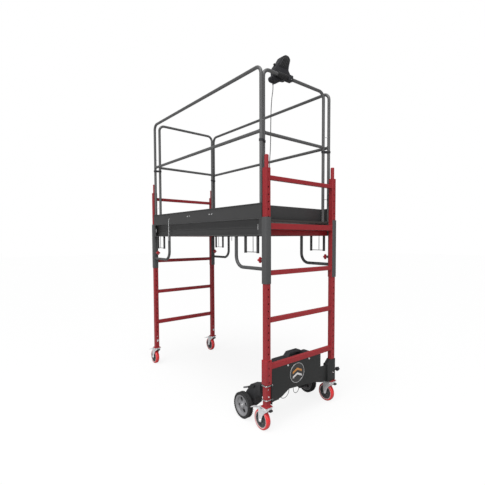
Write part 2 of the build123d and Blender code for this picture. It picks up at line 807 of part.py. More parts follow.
def make_deck():
    """Floor panel between the end toe boards, and the narrow board that carries each end's rail."""
    half = truss_web_y - deck_gap
    z = (deck_top_z - deck_thick, deck_top_z)
    boards = []
    joint = end_toe_board_x - deck_gap
    for ends in ((-joint, joint), (end_toe_board_x, deck_half_length), (-deck_half_length, -end_toe_board_x)):
        with BuildPart() as board:
            block(ends, (-half, half), z)
        boards.append(board.part)
    return Compound(children=boards)


def make_end_beams():
    with BuildPart() as beams:
        for side in (-1, 1):
            middle = side * sum(end_beam_x) / 2
            depth = end_beam_x[1] - end_beam_x[0]
            with BuildSketch(Plane.XZ):
                with Locations((middle, truss_z[0] + end_beam_height / 2)):
                    Rectangle(depth, end_beam_height)
                    Rectangle(depth - 2 * tube_wall, end_beam_height - 2 * tube_wall, mode=Mode.SUBTRACT)
            extrude(amount=truss_web_y, both=True)
    return beams.part


def make_knee_tubes():
    """Bent braces from the truss down and back to the foot of each sleeve."""
    with BuildPart() as knees:
        for sx, sy in corners.values():
            y = sy * knee_y
            end = sx * (half_length - sleeve_half_x)
            with BuildLine() as path:
                FilletPolyline(
                    (sx * knee_x, y, truss_z[0]),
                    (sx * knee_x, y, knee_z),
                    (end, y, knee_z),
                    radius=knee_bend,
                )
            with BuildSketch(Plane.XY.offset(truss_z[0])):
                with Locations((sx * knee_x, y)):
                    Circle(knee_r)
                    Circle(knee_r - tube_wall, mode=Mode.SUBTRACT)
            sweep(path=path.line)
    return knees.part


def make_rail_brackets():
    """Pairs of legs under the truss at each corner."""
    with BuildPart() as legs:
        for sx, sy in corners.values():
            for x in bracket_legs_x:
                with Locations((sx * x, sy * knee_y, bracket_foot_z)):
                    Box(bracket_leg, bracket_leg, truss_z[0] - bracket_foot_z, align=low_centre)
    return legs.part


def make_bracket_wires():
    """Wire keeper across each pair of legs, with its stem to the truss."""
    z = bracket_foot_z + 8
    half_leg = bracket_leg / 2
    with BuildPart() as wires:
        for sx, sy in corners.values():
            y = sy * knee_y
            ends = (sx * (bracket_legs_x[0] + half_leg), sx * (bracket_legs_x[1] - half_leg))
            rod_x(ends, y, z, bracket_wire_r)
            with Locations((sx * bracket_stem_x, y, z)):
                Cylinder(bracket_wire_r, truss_z[0] - z, align=low_centre)
    return wires.part


def make_guard_panel(post, along_x, side):
    """Bent top tube with both posts, and the mid rail, as one welded hollow tube frame."""
    foot = truss_z[1] if along_x else deck_top_z

    def at(end, z):
        if along_x:
            return (end * post[0], side * post[1], z)
        return (side * post[0], end * post[1], z)

    with BuildPart() as panel:
        for r, mode in ((rail_r, Mode.ADD), (rail_r - tube_wall, Mode.SUBTRACT)):
            with BuildLine() as path:
                knots = [at(-1, foot), at(-1, top_rail_z), at(1, top_rail_z), at(1, foot)]
                FilletPolyline(*knots, radius=rail_bend)
            with BuildSketch(Plane(origin=at(-1, foot), z_dir=(0, 0, 1))):
                Circle(r)
            sweep(path=path.line, mode=mode)
            half = post[0] if along_x else post[1]
            if along_x:
                rod_x((-half, half), side * post[1], mid_rail_z, r, mode=mode)
            else:
                rod_y(side * post[0], mid_rail_z, (-half, half), r, mode=mode)
    return panel.part


def make_corner_clips():
    """Moulded clip that ties the two guard posts at each corner."""
    gap = (long_rail[0] - end_rail[0], long_rail[1] - end_rail[1])
    spacing = math.hypot(*gap)
    with BuildPart() as clips:
        for sx, sy in corners.values():
            middle = (sx * (long_rail[0] + end_rail[0]) / 2, sy * (long_rail[1] + end_rail[1]) / 2)
            z = clip_z[-sx * sy]
            turn = math.degrees(math.atan2(sy * gap[1], sx * gap[0]))
            with BuildSketch(Plane.XY.offset(z - clip_height / 2)):
                with Locations(Location((*middle, 0), (0, 0, turn))):
                    SlotCenterToCenter(spacing, 2 * rail_r + 7)
                with Locations((sx * long_rail[0], sy * long_rail[1]), (sx * end_rail[0], sy * end_rail[1])):
                    Circle(rail_r + fit_gap, mode=Mode.SUBTRACT)
            extrude(amount=clip_height)
    return clips.part


def make_rail_links():
    """Short link pins between the two guard posts at each corner."""
    gap = (long_rail[0] - end_rail[0], long_rail[1] - end_rail[1])
    spacing = math.hypot(*gap)
    with BuildPart() as links:
        for sx, sy in corners.values():
            step = (sx * gap[0] / spacing, sy * gap[1] / spacing, 0)
            for z in link_heights:
                start = (sx * end_rail[0] + rail_r * step[0], sy * end_rail[1] + rail_r * step[1], z)
                with BuildSketch(Plane(origin=start, z_dir=step)):
                    Circle(link_r)
                extrude(amount=spacing - 2 * rail_r)
    return links.part


# ---- controller ---------------------------------------------------------------------------------
def make_controller_clamp():
    x, z = end_rail[0], top_rail_z
    half = controller_clamp_size / 2
    with BuildPart() as clamp:
        y = (controller_clamp_y - half, controller_clamp_y + half)
        block((x - half, x + half), y, (z - half, z + half))
        fillet(clamp.edges().filter_by(Axis.Y).group_by(Axis.X)[-1], 8)
        grip = (controller_clamp_y - half - 1, controller_clamp_y + half + 1)
        rod_y(x, z, grip, rail_r + fit_gap, mode=Mode.SUBTRACT)
    return clamp.part


def make_controller_body():
    """Hand controller's housing, with the tapered cord gland as a second solid."""
    with BuildPart() as body:
        with BuildSketch(Plane.YZ.offset(controller_x[0])) as outline:
            with BuildLine():
                Polyline(*controller_outline, close=True)
            make_face()
            fillet(outline.vertices(), controller_corner)
        extrude(amount=controller_x[1] - controller_x[0])
        fillet(body.faces().sort_by(Axis.X)[0].edges(), controller_edge)
    with BuildPart() as gland:
        with Locations((*cord_start, controller_outline[0][1] - gland_length)):
            Cone(gland_tip_r, gland_root_r, gland_length, align=low_centre)
    return Compound(children=[body.part, gland.part])


def make_joystick():
    """Thumb stick on the housing's inner face, with the barrel that it tilts on."""
    y, z = joystick_place
    pivot_x = controller_x[0] - joystick_barrel_r - run_gap
    with BuildPart() as stick:
        rod_y(pivot_x, z, (y - joystick_barrel_half, y + joystick_barrel_half), joystick_barrel_r)
        rod_x((pivot_x, pivot_x - joystick_head[0]), y, z, joystick_stem_r)
        rod_x((pivot_x - joystick_head[0], pivot_x - joystick_head[1]), y, z, joystick_head_r)
        fillet(stick.edges().group_by(Axis.X)[0], joystick_head_r / 2)
    return stick.part


def make_control_cable():
    """Cord from the controller's gland, hanging through the end guard panel into the open top of
    the drive-end left post."""
    x, y = cord_start
    inside = post_half - post_wall - cord_r - run_gap
    post_x, post_y = half_length + inside, -half_width + inside
    points = [
        (x, y, controller_outline[0][1] - gland_length),
        (x, y, 2470),
        (829, -214, 2424),
        (855, -242, 2370),
        (877, -266, 2302),
        (891, -281, 2224),
        (897, -288, 2138),
        (902, -293, 2054),
        (917, -310, 1976),
        (post_x - 0.6, post_y, post_top_z + 42),
        (post_x, post_y - 0.2, post_top_z - 14),
        (post_x - 0.4, post_y, post_top_z - 66),
    ]
    corners_of = [Vector(*point) for point in points]
    radii = []
    for before, here, after in zip(corners_of, corners_of[1:], corners_of[2:]):
        turn = (here - before).get_angle(after - here)
        shorter = min((here - before).length, (after - here).length)
        radii.append(0.45 * shorter / math.tan(math.radians(turn) / 2))
    print("control cable radii", [round(r) for r in radii])
    with BuildPart() as cord:
        with BuildLine() as route:
            FilletPolyline(*points, radius=radii)
        with BuildSketch(Plane(origin=corners_of[0], z_dir=corners_of[1] - corners_of[0])):
            Circle(cord_r)
        sweep(path=route.line)
    length = sum(edge.length for edge in route.edges())
    share = cord.part.volume / (math.pi * cord_r**2 * length)
    print("control cable length", round(length, 1), "volume share", round(share, 4))
    return cord.part


def main():
    os.makedirs("parts", exist_ok=True)
    for name, (sx, sy) in corners.items():
        save(make_post(sx, sy), f"post_{name}")
        save(make_caster_fork(sx, sy), f"caster_fork_{name}")
        save(make_caster_wheel(sx, sy), f"caster_wheel_{name}")
        save(make_caster_pedal(sx, sy), f"caster_pedal_{name}")
        save(make_spring_pin(sx, sy), f"spring_pin_{name}")
    for name, sy in sides.items():
        save(make_drive_wheel(sy), f"drive_wheel_{name}")
        save(make_gearbox(sy), f"gearbox_{name}")
        save(make_drive_lever(sy), f"clutch_lever_{name}")
        save(make_truss(sy), f"truss_{name}")
        save(make_toe_board(sy), f"toe_board_{name}")
        save(make_guard_panel(long_rail, True, sy), f"guard_panel_{name}")
    for name, sx in (("drive_end", 1), ("far_end", -1)):
        save(make_rungs(sx), f"rungs_{name}")
        save(make_guard_panel(end_rail, False, sx), f"guard_panel_{name}")
    groups = {
        "coupling_pins": make_coupling_pins,
        "foot_flanges": make_foot_flanges,
        "caster_plates": make_caster_plates,
        "caster_retainers": make_caster_retainers,
        "drive_plate": make_drive_plate,
        "drive_fasteners": make_drive_fasteners,
        "post_stiffener": make_post_stiffener,
        "post_clamp": make_post_clamp,
        "clamp_knob": make_clamp_knob,
        "battery_box": make_battery_box,
        "drive_cables": make_drive_cables,
        "platform_sleeves": make_sleeves,
        "toe_boards_end": make_end_toe_boards,
        "deck": make_deck,
        "deck_end_beams": make_end_beams,
        "knee_tubes": make_knee_tubes,
        "rail_brackets": make_rail_brackets,
        "bracket_wires": make_bracket_wires,
        "corner_clips": make_corner_clips,
        "rail_links": make_rail_links,
        "controller_clamp": make_controller_clamp,
        "controller_body": make_controller_body,
        "controller_joystick": make_joystick,
        "control_cable": make_control_cable,
    }
    for name, make in groups.items():
        save(make(), name)


main()
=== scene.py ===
"""Looks of a powered rolling scaffold section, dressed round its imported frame.

Two red ladder frames stand on swivel casters and carry a dark guard-railed platform. A wheel drive
is clamped to one end, and a hand controller sits on the rail above it. Metres, +Z up.
"""

from __future__ import annotations

import logging
import math
from contextlib import contextmanager
from dataclasses import dataclass
from enum import Enum
from typing import Iterator, Sequence, Union

import bpy
from mathutils import Matrix, Vector

import sys


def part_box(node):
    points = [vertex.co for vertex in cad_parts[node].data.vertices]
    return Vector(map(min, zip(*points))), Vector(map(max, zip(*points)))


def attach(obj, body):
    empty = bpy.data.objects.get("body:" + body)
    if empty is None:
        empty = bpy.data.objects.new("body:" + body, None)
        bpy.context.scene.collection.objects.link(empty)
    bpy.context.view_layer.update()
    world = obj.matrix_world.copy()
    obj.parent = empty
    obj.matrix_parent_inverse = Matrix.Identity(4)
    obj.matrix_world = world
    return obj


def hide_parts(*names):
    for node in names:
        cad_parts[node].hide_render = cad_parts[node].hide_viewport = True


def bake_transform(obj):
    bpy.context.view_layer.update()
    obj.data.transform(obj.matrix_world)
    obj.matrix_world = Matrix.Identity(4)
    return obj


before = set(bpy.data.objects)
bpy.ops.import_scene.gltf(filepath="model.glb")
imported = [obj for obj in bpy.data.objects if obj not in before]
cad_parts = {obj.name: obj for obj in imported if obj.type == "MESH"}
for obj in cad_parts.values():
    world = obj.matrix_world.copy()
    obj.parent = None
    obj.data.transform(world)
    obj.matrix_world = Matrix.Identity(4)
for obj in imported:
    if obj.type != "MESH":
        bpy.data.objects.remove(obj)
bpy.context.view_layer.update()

log = logging.getLogger("scaffold")
Point = tuple[float, float]
Colour = tuple[float, float, float]
Piece = bpy.types.Object
Value = Union["Wire", float, tuple]
CORNERS = {"drive_left": (1, -1), "drive_right": (1, 1), "far_left": (-1, -1), "far_right": (-1, 1)}
SIDES = {"left": -1, "right": 1}
FULL_TURN = 2 * math.pi
EDGE_TURN = 38.0
TUBE = 0.0413
GLAND = (0.811, -0.190)


# ---- shaders ------------------------------------------------------------------------------------
class Wire:
    """One output socket of a shader, which takes part in expressions by adding Math nodes."""

    def __init__(self, shader: Shader, socket: bpy.types.NodeSocket) -> None:
        """Keep the socket with the shader that its nodes belong to."""
        self.shader = shader
        self.socket = socket

    def _maths(self, operation: str, *terms: Value) -> Wire:
        """Add one Math node on these terms, in order."""
        return self.shader.node("ShaderNodeMath", {"operation": operation}, dict(enumerate(terms)))

    def __add__(self, other: Value) -> Wire:
        """Sum."""
        return self._maths("ADD", self, other)

    def __radd__(self, other: Value) -> Wire:
        """Sum, reflected."""
        return self._maths("ADD", other, self)

    def __sub__(self, other: Value) -> Wire:
        """Difference."""
        return self._maths("SUBTRACT", self, other)

    def __rsub__(self, other: Value) -> Wire:
        """Difference, reflected."""
        return self._maths("SUBTRACT", other, self)

    def __mul__(self, other: Value) -> Wire:
        """Product."""
        return self._maths("MULTIPLY", self, other)

    def __rmul__(self, other: Value) -> Wire:
        """Product, reflected."""
        return self._maths("MULTIPLY", other, self)

    def sine(self) -> Wire:
        """Sine of the value, in radians."""
        return self._maths("SINE", self)

    def within(self, low: float, high: float) -> Wire:
        """Smooth step from 0 at low to 1 at high.

        Args:
            low: value that gives 0.
            high: value that gives 1.

        Returns:
            The stepped value.
        """
        settings = {"interpolation_type": "SMOOTHSTEP"}
        sockets = {"Value": self, "From Min": low, "From Max": high}
        return self.shader.node("ShaderNodeMapRange", settings, sockets)


class Shader:
    """A material's node tree, with one method that adds any node."""

    def __init__(self, name: str) -> None:
        """Start a material that holds a Principled BSDF and its output."""
        self.material = bpy.data.materials.new(name)
        self.material.use_nodes = True
        self.tree = self.material.node_tree
        self.surface = next(n for n in self.tree.nodes if n.type == "BSDF_PRINCIPLED")

    def feed(self, socket: bpy.types.NodeSocket, value: Value) -> None:
        """Link a wire to a socket, or set the socket's own value."""
        if isinstance(value, Wire):
            self.tree.links.new(value.socket, socket)
        elif isinstance(value, tuple) and len(value) == 3 and len(socket.default_value) == 4:
            socket.default_value = (*value, 1.0)
        else:
            socket.default_value = value

    def node(
        self, kind: str, settings: dict | None = None, inputs: dict | None = None, output: int | str = 0
    ) -> Wire:
        """Add a node.

        Args:
            kind: the node's type.
            settings: its properties, or a ramp's stops, set before its sockets.
            inputs: a value or wire for each socket, by name or place.
            output: the output socket to return, by name or place.

        Returns:
            The output as a wire.
        """
        made = self.tree.nodes.new(kind)
        for name, value in (settings or {}).items():
            if name == "stops":
                for stop, (place, colour) in zip(made.color_ramp.elements, value):
                    stop.position = place
                    stop.color = (*colour, 1.0)
            else:
                setattr(made, name, value)
        for name, value in (inputs or {}).items():
            self.feed(made.inputs[name], value)
        return Wire(self, made.outputs[output])

    def place(self) -> Wire:
        """Object coordinates, which are metres in the shared frame."""
        return self.node("ShaderNodeTexCoord", output="Object")

    def axes(self) -> tuple[Wire, Wire, Wire]:
        """X, Y and Z of the object coordinates, as three wires."""
        first = self.node("ShaderNodeSeparateXYZ", None, {0: self.place()})
        return first, Wire(self, first.socket.node.outputs[1]), Wire(self, first.socket.node.outputs[2])

    def stretched(self, scale: tuple[float, float, float]) -> Wire:
        """Object coordinates scaled by a different amount on each axis."""
        return self.node("ShaderNodeVectorMath", {"operation": "MULTIPLY"}, {0: self.place(), 1: scale})

    def noise(self, scale: float, detail: float = 2.0, vector: Wire | None = None) -> Wire:
        """Noise between 0 and 1.

        Args:
            scale: blotches to a metre.
            detail: octaves.
            vector: coordinates, or None for the object's.

        Returns:
            The noise's value.
        """
        sockets = {"Vector": vector or self.place(), "Scale": scale, "Detail": detail}
        return self.node("ShaderNodeTexNoise", None, sockets)

    def mix(self, first: Value, second: Value, share: Value) -> Wire:
        """Colour between two others; a share of 1 gives the second."""
        sockets = {0: share, 6: first, 7: second}
        return self.node("ShaderNodeMix", {"data_type": "RGBA"}, sockets, output=2)

    def bump(self, height: Wire, strength: float, depth: float) -> Wire:
        """Normal of a surface with this height, whose full range is depth metres."""
        return self.node("ShaderNodeBump", None, {"Strength": strength, "Distance": depth, "Height": height})

    def dress(self, **sockets: Value) -> bpy.types.Material:
        """Set the surface's sockets, named with underscores for spaces, and return the material."""
        for name, value in sockets.items():
            self.feed(self.surface.inputs[name.replace("_", " ")], value)
        return self.material


def shade(colour: Colour, by: float) -> Colour:
    """A colour made lighter or darker by a factor."""
    return tuple(min(1.0, part * by) for part in colour)


@dataclass(frozen=True)
class Finish:
    """A surface finish, made as a material the first time that a piece asks for it."""

    name: str
    colour: Colour
    roughness: float = 0.5

    def make(self) -> bpy.types.Material:
        """Build the material; each kind of finish has its own."""
        raise NotImplementedError(self.name)

    def tint(self, s: Shader, dark: float, light: float, share: Value) -> Wire:
        """Colour between a darker and a lighter shade of the finish's own."""
        return s.mix(shade(self.colour, dark), shade(self.colour, light), share)

    def material(self) -> bpy.types.Material:
        """The finish's one material."""
        return bpy.data.materials.get(self.name) or self.make()


@dataclass(frozen=True)
class PowderCoat(Finish):
    """Baked powder coat: fine orange peel, slight pooling of colour, and handling scuffs."""

    scuffs: float = 0.25

    def make(self) -> bpy.types.Material:
        """Build the material."""
        s = Shader(self.name)
        pooled = s.noise(4.0, 3.0)
        flecks = s.noise(900.0, 1.0)
        streaks = s.noise(1.0, 4.0, s.stretched((160.0, 160.0, 9.0)))
        worn = streaks.within(0.60, 0.74) * s.noise(7.0, 2.0).within(0.48, 0.66) * self.scuffs
        base = self.tint(s, 0.88, 1.12, pooled)
        base = s.mix(base, shade(self.colour, 1.25), flecks.within(0.55, 0.75) * 0.35)
        base = s.mix(base, tuple(part * 0.7 + 0.10 for part in self.colour), worn)
        peel = s.noise(520.0, 1.0) * 0.7 + flecks * 0.3
        rough = self.roughness + (pooled - 0.5) * 0.12 + worn * 0.5
        return s.dress(
            Base_Color=base,
            Roughness=rough,
            Normal=s.bump(peel, 0.35, 0.0004),
            Specular_IOR_Level=0.36,
        )


@dataclass(frozen=True)
class ZincPlate(Finish):
    """Bright zinc on pressed steel: soft crystal mottling and drawing lines."""

    metal: float = 0.85

    def make(self) -> bpy.types.Material:
        """Build the material."""
        s = Shader(self.name)
        crystal = s.node("ShaderNodeTexVoronoi", None, {"Vector": s.place(), "Scale": 240.0}, output="Color")
        mottle = s.node("ShaderNodeSeparateXYZ", None, {0: crystal})
        lines = s.noise(1.0, 3.0, s.stretched((60.0, 900.0, 60.0)))
        base = self.tint(s, 0.86, 1.06, mottle * 0.5 + lines * 0.5)
        rough = self.roughness + mottle * 0.10 + lines * 0.08
        drawn = s.bump(lines, 0.15, 0.0002)
        return s.dress(Base_Color=base, Metallic=self.metal, Roughness=rough, Normal=drawn)


@dataclass(frozen=True)
class Moulding(Finish):
    """Moulded plastic or cast rubber with a fine spark-eroded grain."""

    grain: float = 1400.0
    depth: float = 0.0003

    def make(self) -> bpy.types.Material:
        """Build the material."""
        s = Shader(self.name)
        cells = s.node("ShaderNodeTexVoronoi", None, {"Vector": s.place(), "Scale": self.grain})
        flow = s.noise(18.0, 3.0)
        base = self.tint(s, 0.82, 1.25, flow)
        rough = self.roughness + (flow - 0.5) * 0.16
        return s.dress(Base_Color=base, Roughness=rough, Normal=s.bump(cells, 0.4, self.depth))


@dataclass(frozen=True)
class Urethane(Finish):
    """Glossy cast polyurethane with rolling marks round the tread."""

    def make(self) -> bpy.types.Material:
        """Build the material."""
        s = Shader(self.name)
        marks = s.noise(1.0, 3.0, s.stretched((30.0, 700.0, 30.0)))
        cloud = s.noise(26.0, 3.0)
        base = self.tint(s, 0.84, 1.10, cloud)
        base = s.mix(base, shade(self.colour, 0.72), marks.within(0.62, 0.80) * 0.4)
        rough = self.roughness + marks.within(0.45, 0.8) * 0.22
        s.dress(Base_Color=base, Roughness=rough, Normal=s.bump(marks, 0.12, 0.0003))
        return s.dress(Coat_Weight=0.5, Coat_Roughness=0.12)


@dataclass(frozen=True)
class Casting(Finish):
    """Black painted sand casting: pebbled skin with rubbed high spots."""

    def make(self) -> bpy.types.Material:
        """Build the material."""
        s = Shader(self.name)
        pebble = s.noise(420.0, 4.0)
        rubbed = pebble.within(0.60, 0.78)
        base = self.tint(s, 0.75, 1.5, s.noise(14.0, 3.0))
        base = s.mix(base, shade(self.colour, 2.6), rubbed * 0.3)
        rough = self.roughness - rubbed * 0.15
        return s.dress(Base_Color=base, Roughness=rough, Normal=s.bump(pebble, 0.5, 0.0008))


@dataclass(frozen=True)
class Plywood(Finish):
    """Dark film-faced plywood: wire-mesh grip on its faces and sealed plies along its edges."""

    top: float = 1.515
    thick: float = 0.018

    def make(self) -> bpy.types.Material:
        """Build the material."""
        s = Shader(self.name)
        x, y, z = s.axes()
        mesh = (x * 2100.0).sine() * (y * 2100.0).sine()
        depth = (self.top - z) * (1 / self.thick)
        inside = depth.within(0.03, 0.08) * (1.0 - depth.within(0.92, 0.97))
        plies = (depth * 34.0).sine().within(-0.3, 0.3)
        fibre = s.noise(1.0, 4.0, s.stretched((12.0, 240.0, 240.0)))
        face = self.tint(s, 0.8, 1.3, s.noise(5.0, 4.0))
        edge = self.tint(s, 0.55, 1.15, plies * 0.6 + fibre * 0.4)
        rough = self.roughness + inside * 0.25
        base = s.mix(face, edge, inside)
        return s.dress(Base_Color=base, Roughness=rough, Normal=s.bump(mesh, 0.35, 0.0006))


@dataclass(frozen=True)
class Enamel(Finish):
    """Printed colour under clear lacquer."""

    def make(self) -> bpy.types.Material:
        """Build the material."""
        s = Shader(self.name)
        dots = s.noise(260.0, 2.0)
        base = self.tint(s, 0.85, 1.1, dots)
        rough = self.roughness + (dots - 0.5) * 0.1
        return s.dress(Base_Color=base, Roughness=rough, Coat_Weight=0.6, Coat_Roughness=0.1)


@dataclass(frozen=True)
class Studio(Finish):
    """White studio floor: it looks evenly lit, keeps soft shadows and throws little light back up."""

    glow: float = 1.19
    share: float = 0.72

    def make(self) -> bpy.types.Material:
        """Build the material."""
        s = Shader(self.name)
        paper = s.dress(Base_Color=self.colour, Roughness=self.roughness)
        seen = s.node("ShaderNodeLightPath", output="Is Camera Ray")
        light = s.node("ShaderNodeEmission", None, {"Strength": self.glow})
        shares = {0: seen * self.share, 1: Wire(s, s.surface.outputs[0]), 2: light}
        both = s.node("ShaderNodeMixShader", None, shares)
        out = next(n for n in s.tree.nodes if n.type == "OUTPUT_MATERIAL")
        s.feed(out.inputs["Surface"], both)
        return paper


class Paint:
    """Every finish on the scaffold."""

    RED = PowderCoat("red_powder_coat", (0.330, 0.024, 0.030), 0.40)
    # Darker copy of the red powder coat for the deck end beams: painted shade, for the shade they sit in
    # below the deck's edge.
    SHADED_RED_BEAM = PowderCoat("dark_red_powder_coat", (0.230, 0.010, 0.014), 0.40)
    DARK = PowderCoat("charcoal_powder_coat", (0.056, 0.056, 0.057), 0.44)
    RAIL = PowderCoat("rail_powder_coat", (0.120, 0.120, 0.121), 0.38)
    GREY = PowderCoat("grey_powder_coat", (0.084, 0.085, 0.087), 0.42)
    BLACK = PowderCoat("black_powder_coat", (0.022, 0.023, 0.023), 0.46)
    ZINC = ZincPlate("bright_zinc", (0.90, 0.90, 0.92), 0.36, 0.45)
    STEEL = ZincPlate("bright_steel", (0.66, 0.66, 0.67), 0.26, 0.95)
    TREAD = Urethane("red_urethane", (0.80, 0.030, 0.035), 0.30)
    LIP = Moulding("pale_bond_ring", (0.66, 0.42, 0.42), 0.42)
    CORE = Moulding("caster_core", (0.085, 0.085, 0.088), 0.50)
    HUB = Moulding("wheel_hub", (0.24, 0.24, 0.25), 0.46)
    TYRE = Moulding("tyre_rubber", (0.022, 0.022, 0.023), 0.72, 600.0, 0.0008)
    PLASTIC = Moulding("black_plastic", (0.011, 0.011, 0.012), 0.50)
    PANEL = Moulding("smooth_black_plastic", (0.050, 0.050, 0.054), 0.36, 2600.0, 0.0001)
    RUBBER = Moulding("black_rubber", (0.014, 0.014, 0.015), 0.66, 900.0, 0.0006)
    SHEATH = Moulding("cord_sheath", (0.055, 0.055, 0.057), 0.46, 2400.0, 0.0001)
    KNOB = Moulding("red_knob", (0.44, 0.030, 0.034), 0.40)
    GRIP = Moulding("grey_grip", (0.13, 0.13, 0.135), 0.55)
    CASE = Casting("black_casting", (0.026, 0.026, 0.028), 0.55)
    DECK = Plywood("film_faced_plywood", (0.060, 0.056, 0.052), 0.45)
    AMBER = Enamel("amber_enamel", (0.60, 0.24, 0.04), 0.35)
    WHITE = Enamel("white_enamel", (0.72, 0.70, 0.70), 0.35)
    NIGHT = Enamel("black_enamel", (0.015, 0.013, 0.012), 0.30)
    PAPER = Studio("studio_paper", (0.42, 0.42, 0.42), 0.9)


# ---- the bench ----------------------------------------------------------------------------------
class Way(Enum):
    """Axis that a profile is extruded or turned along."""

    X = 0
    Y = 1
    Z = 2

    def vector(self, length: float = 1.0) -> Vector:
        """Vector of this length along the axis."""
        return Vector([length if k == self.value else 0.0 for k in range(3)])

    def place(self, along: float, a: float, b: float) -> Vector:
        """Point from its place along the axis and its two coordinates across it, in X, Y, Z order."""
        parts = [a, b]
        parts.insert(self.value, along)
        return Vector(parts)


def arc(centre: Point, r: float, start: float, end: float, steps: int = 10) -> list[Point]:
    """Points along a circle, with angles in degrees."""
    turns = [math.radians(start + (end - start) * k / steps) for k in range(steps + 1)]
    return [(centre[0] + r * math.cos(t), centre[1] + r * math.sin(t)) for t in turns]


def sweep(start: Point, pull: Point, end: Point, steps: int = 8) -> list[Point]:
    """Points along a curve from start to end that leans towards pull."""
    found = []
    for k in range(steps + 1):
        t = k / steps
        weights = ((1 - t) ** 2, 2 * t * (1 - t), t**2)
        found.append(tuple(sum(w * p[i] for w, p in zip(weights, (start, pull, end))) for i in (0, 1)))
    return found


def rounded(low: Point, high: Point, r: float, steps: int = 5) -> list[Point]:
    """Rectangle with round corners."""
    left, right = low[0] + r, high[0] - r
    near, far = low[1] + r, high[1] - r
    outline = []
    for k, corner in enumerate(((right, far), (left, far), (left, near), (right, near))):
        outline += arc(corner, r, 90 * k, 90 * k + 90, steps)
    return outline


def filleted(outline: Sequence[Point], r: float) -> list[Point]:
    """Closed outline with its corners rounded, each starting this far from its point."""
    found = []
    for k, corner in enumerate(outline):
        before, after = Vector(outline[k - 1]), Vector(outline[(k + 1) % len(outline)])
        here = Vector(corner)
        first = here + (before - here).normalized() * r
        last = here + (after - here).normalized() * r
        found += sweep(tuple(first), corner, tuple(last), 4)
    return found


def mirrored(side: Sequence[Point]) -> list[Point]:
    """Profile of (radius, distance along) with its reflection, as one closed outline."""
    return [(r, -along) for r, along in side] + [(r, along) for r, along in reversed(side)]


def lobed(middle_of: Point, r: float, swell: float, lobes: int, steps: int) -> list[Point]:
    """Circle whose radius swells and shrinks a few times round, like a star knob."""
    outline = []
    for k in range(steps):
        t = FULL_TURN * k / steps
        reach = r + swell * math.cos(lobes * t)
        outline.append((middle_of[0] + reach * math.cos(t), middle_of[1] + reach * math.sin(t)))
    return outline


def added(name: str, data: bpy.types.ID) -> Piece:
    """New object that shows some data in the scene."""
    obj = bpy.data.objects.new(name, data)
    bpy.context.scene.collection.objects.link(obj)
    return obj


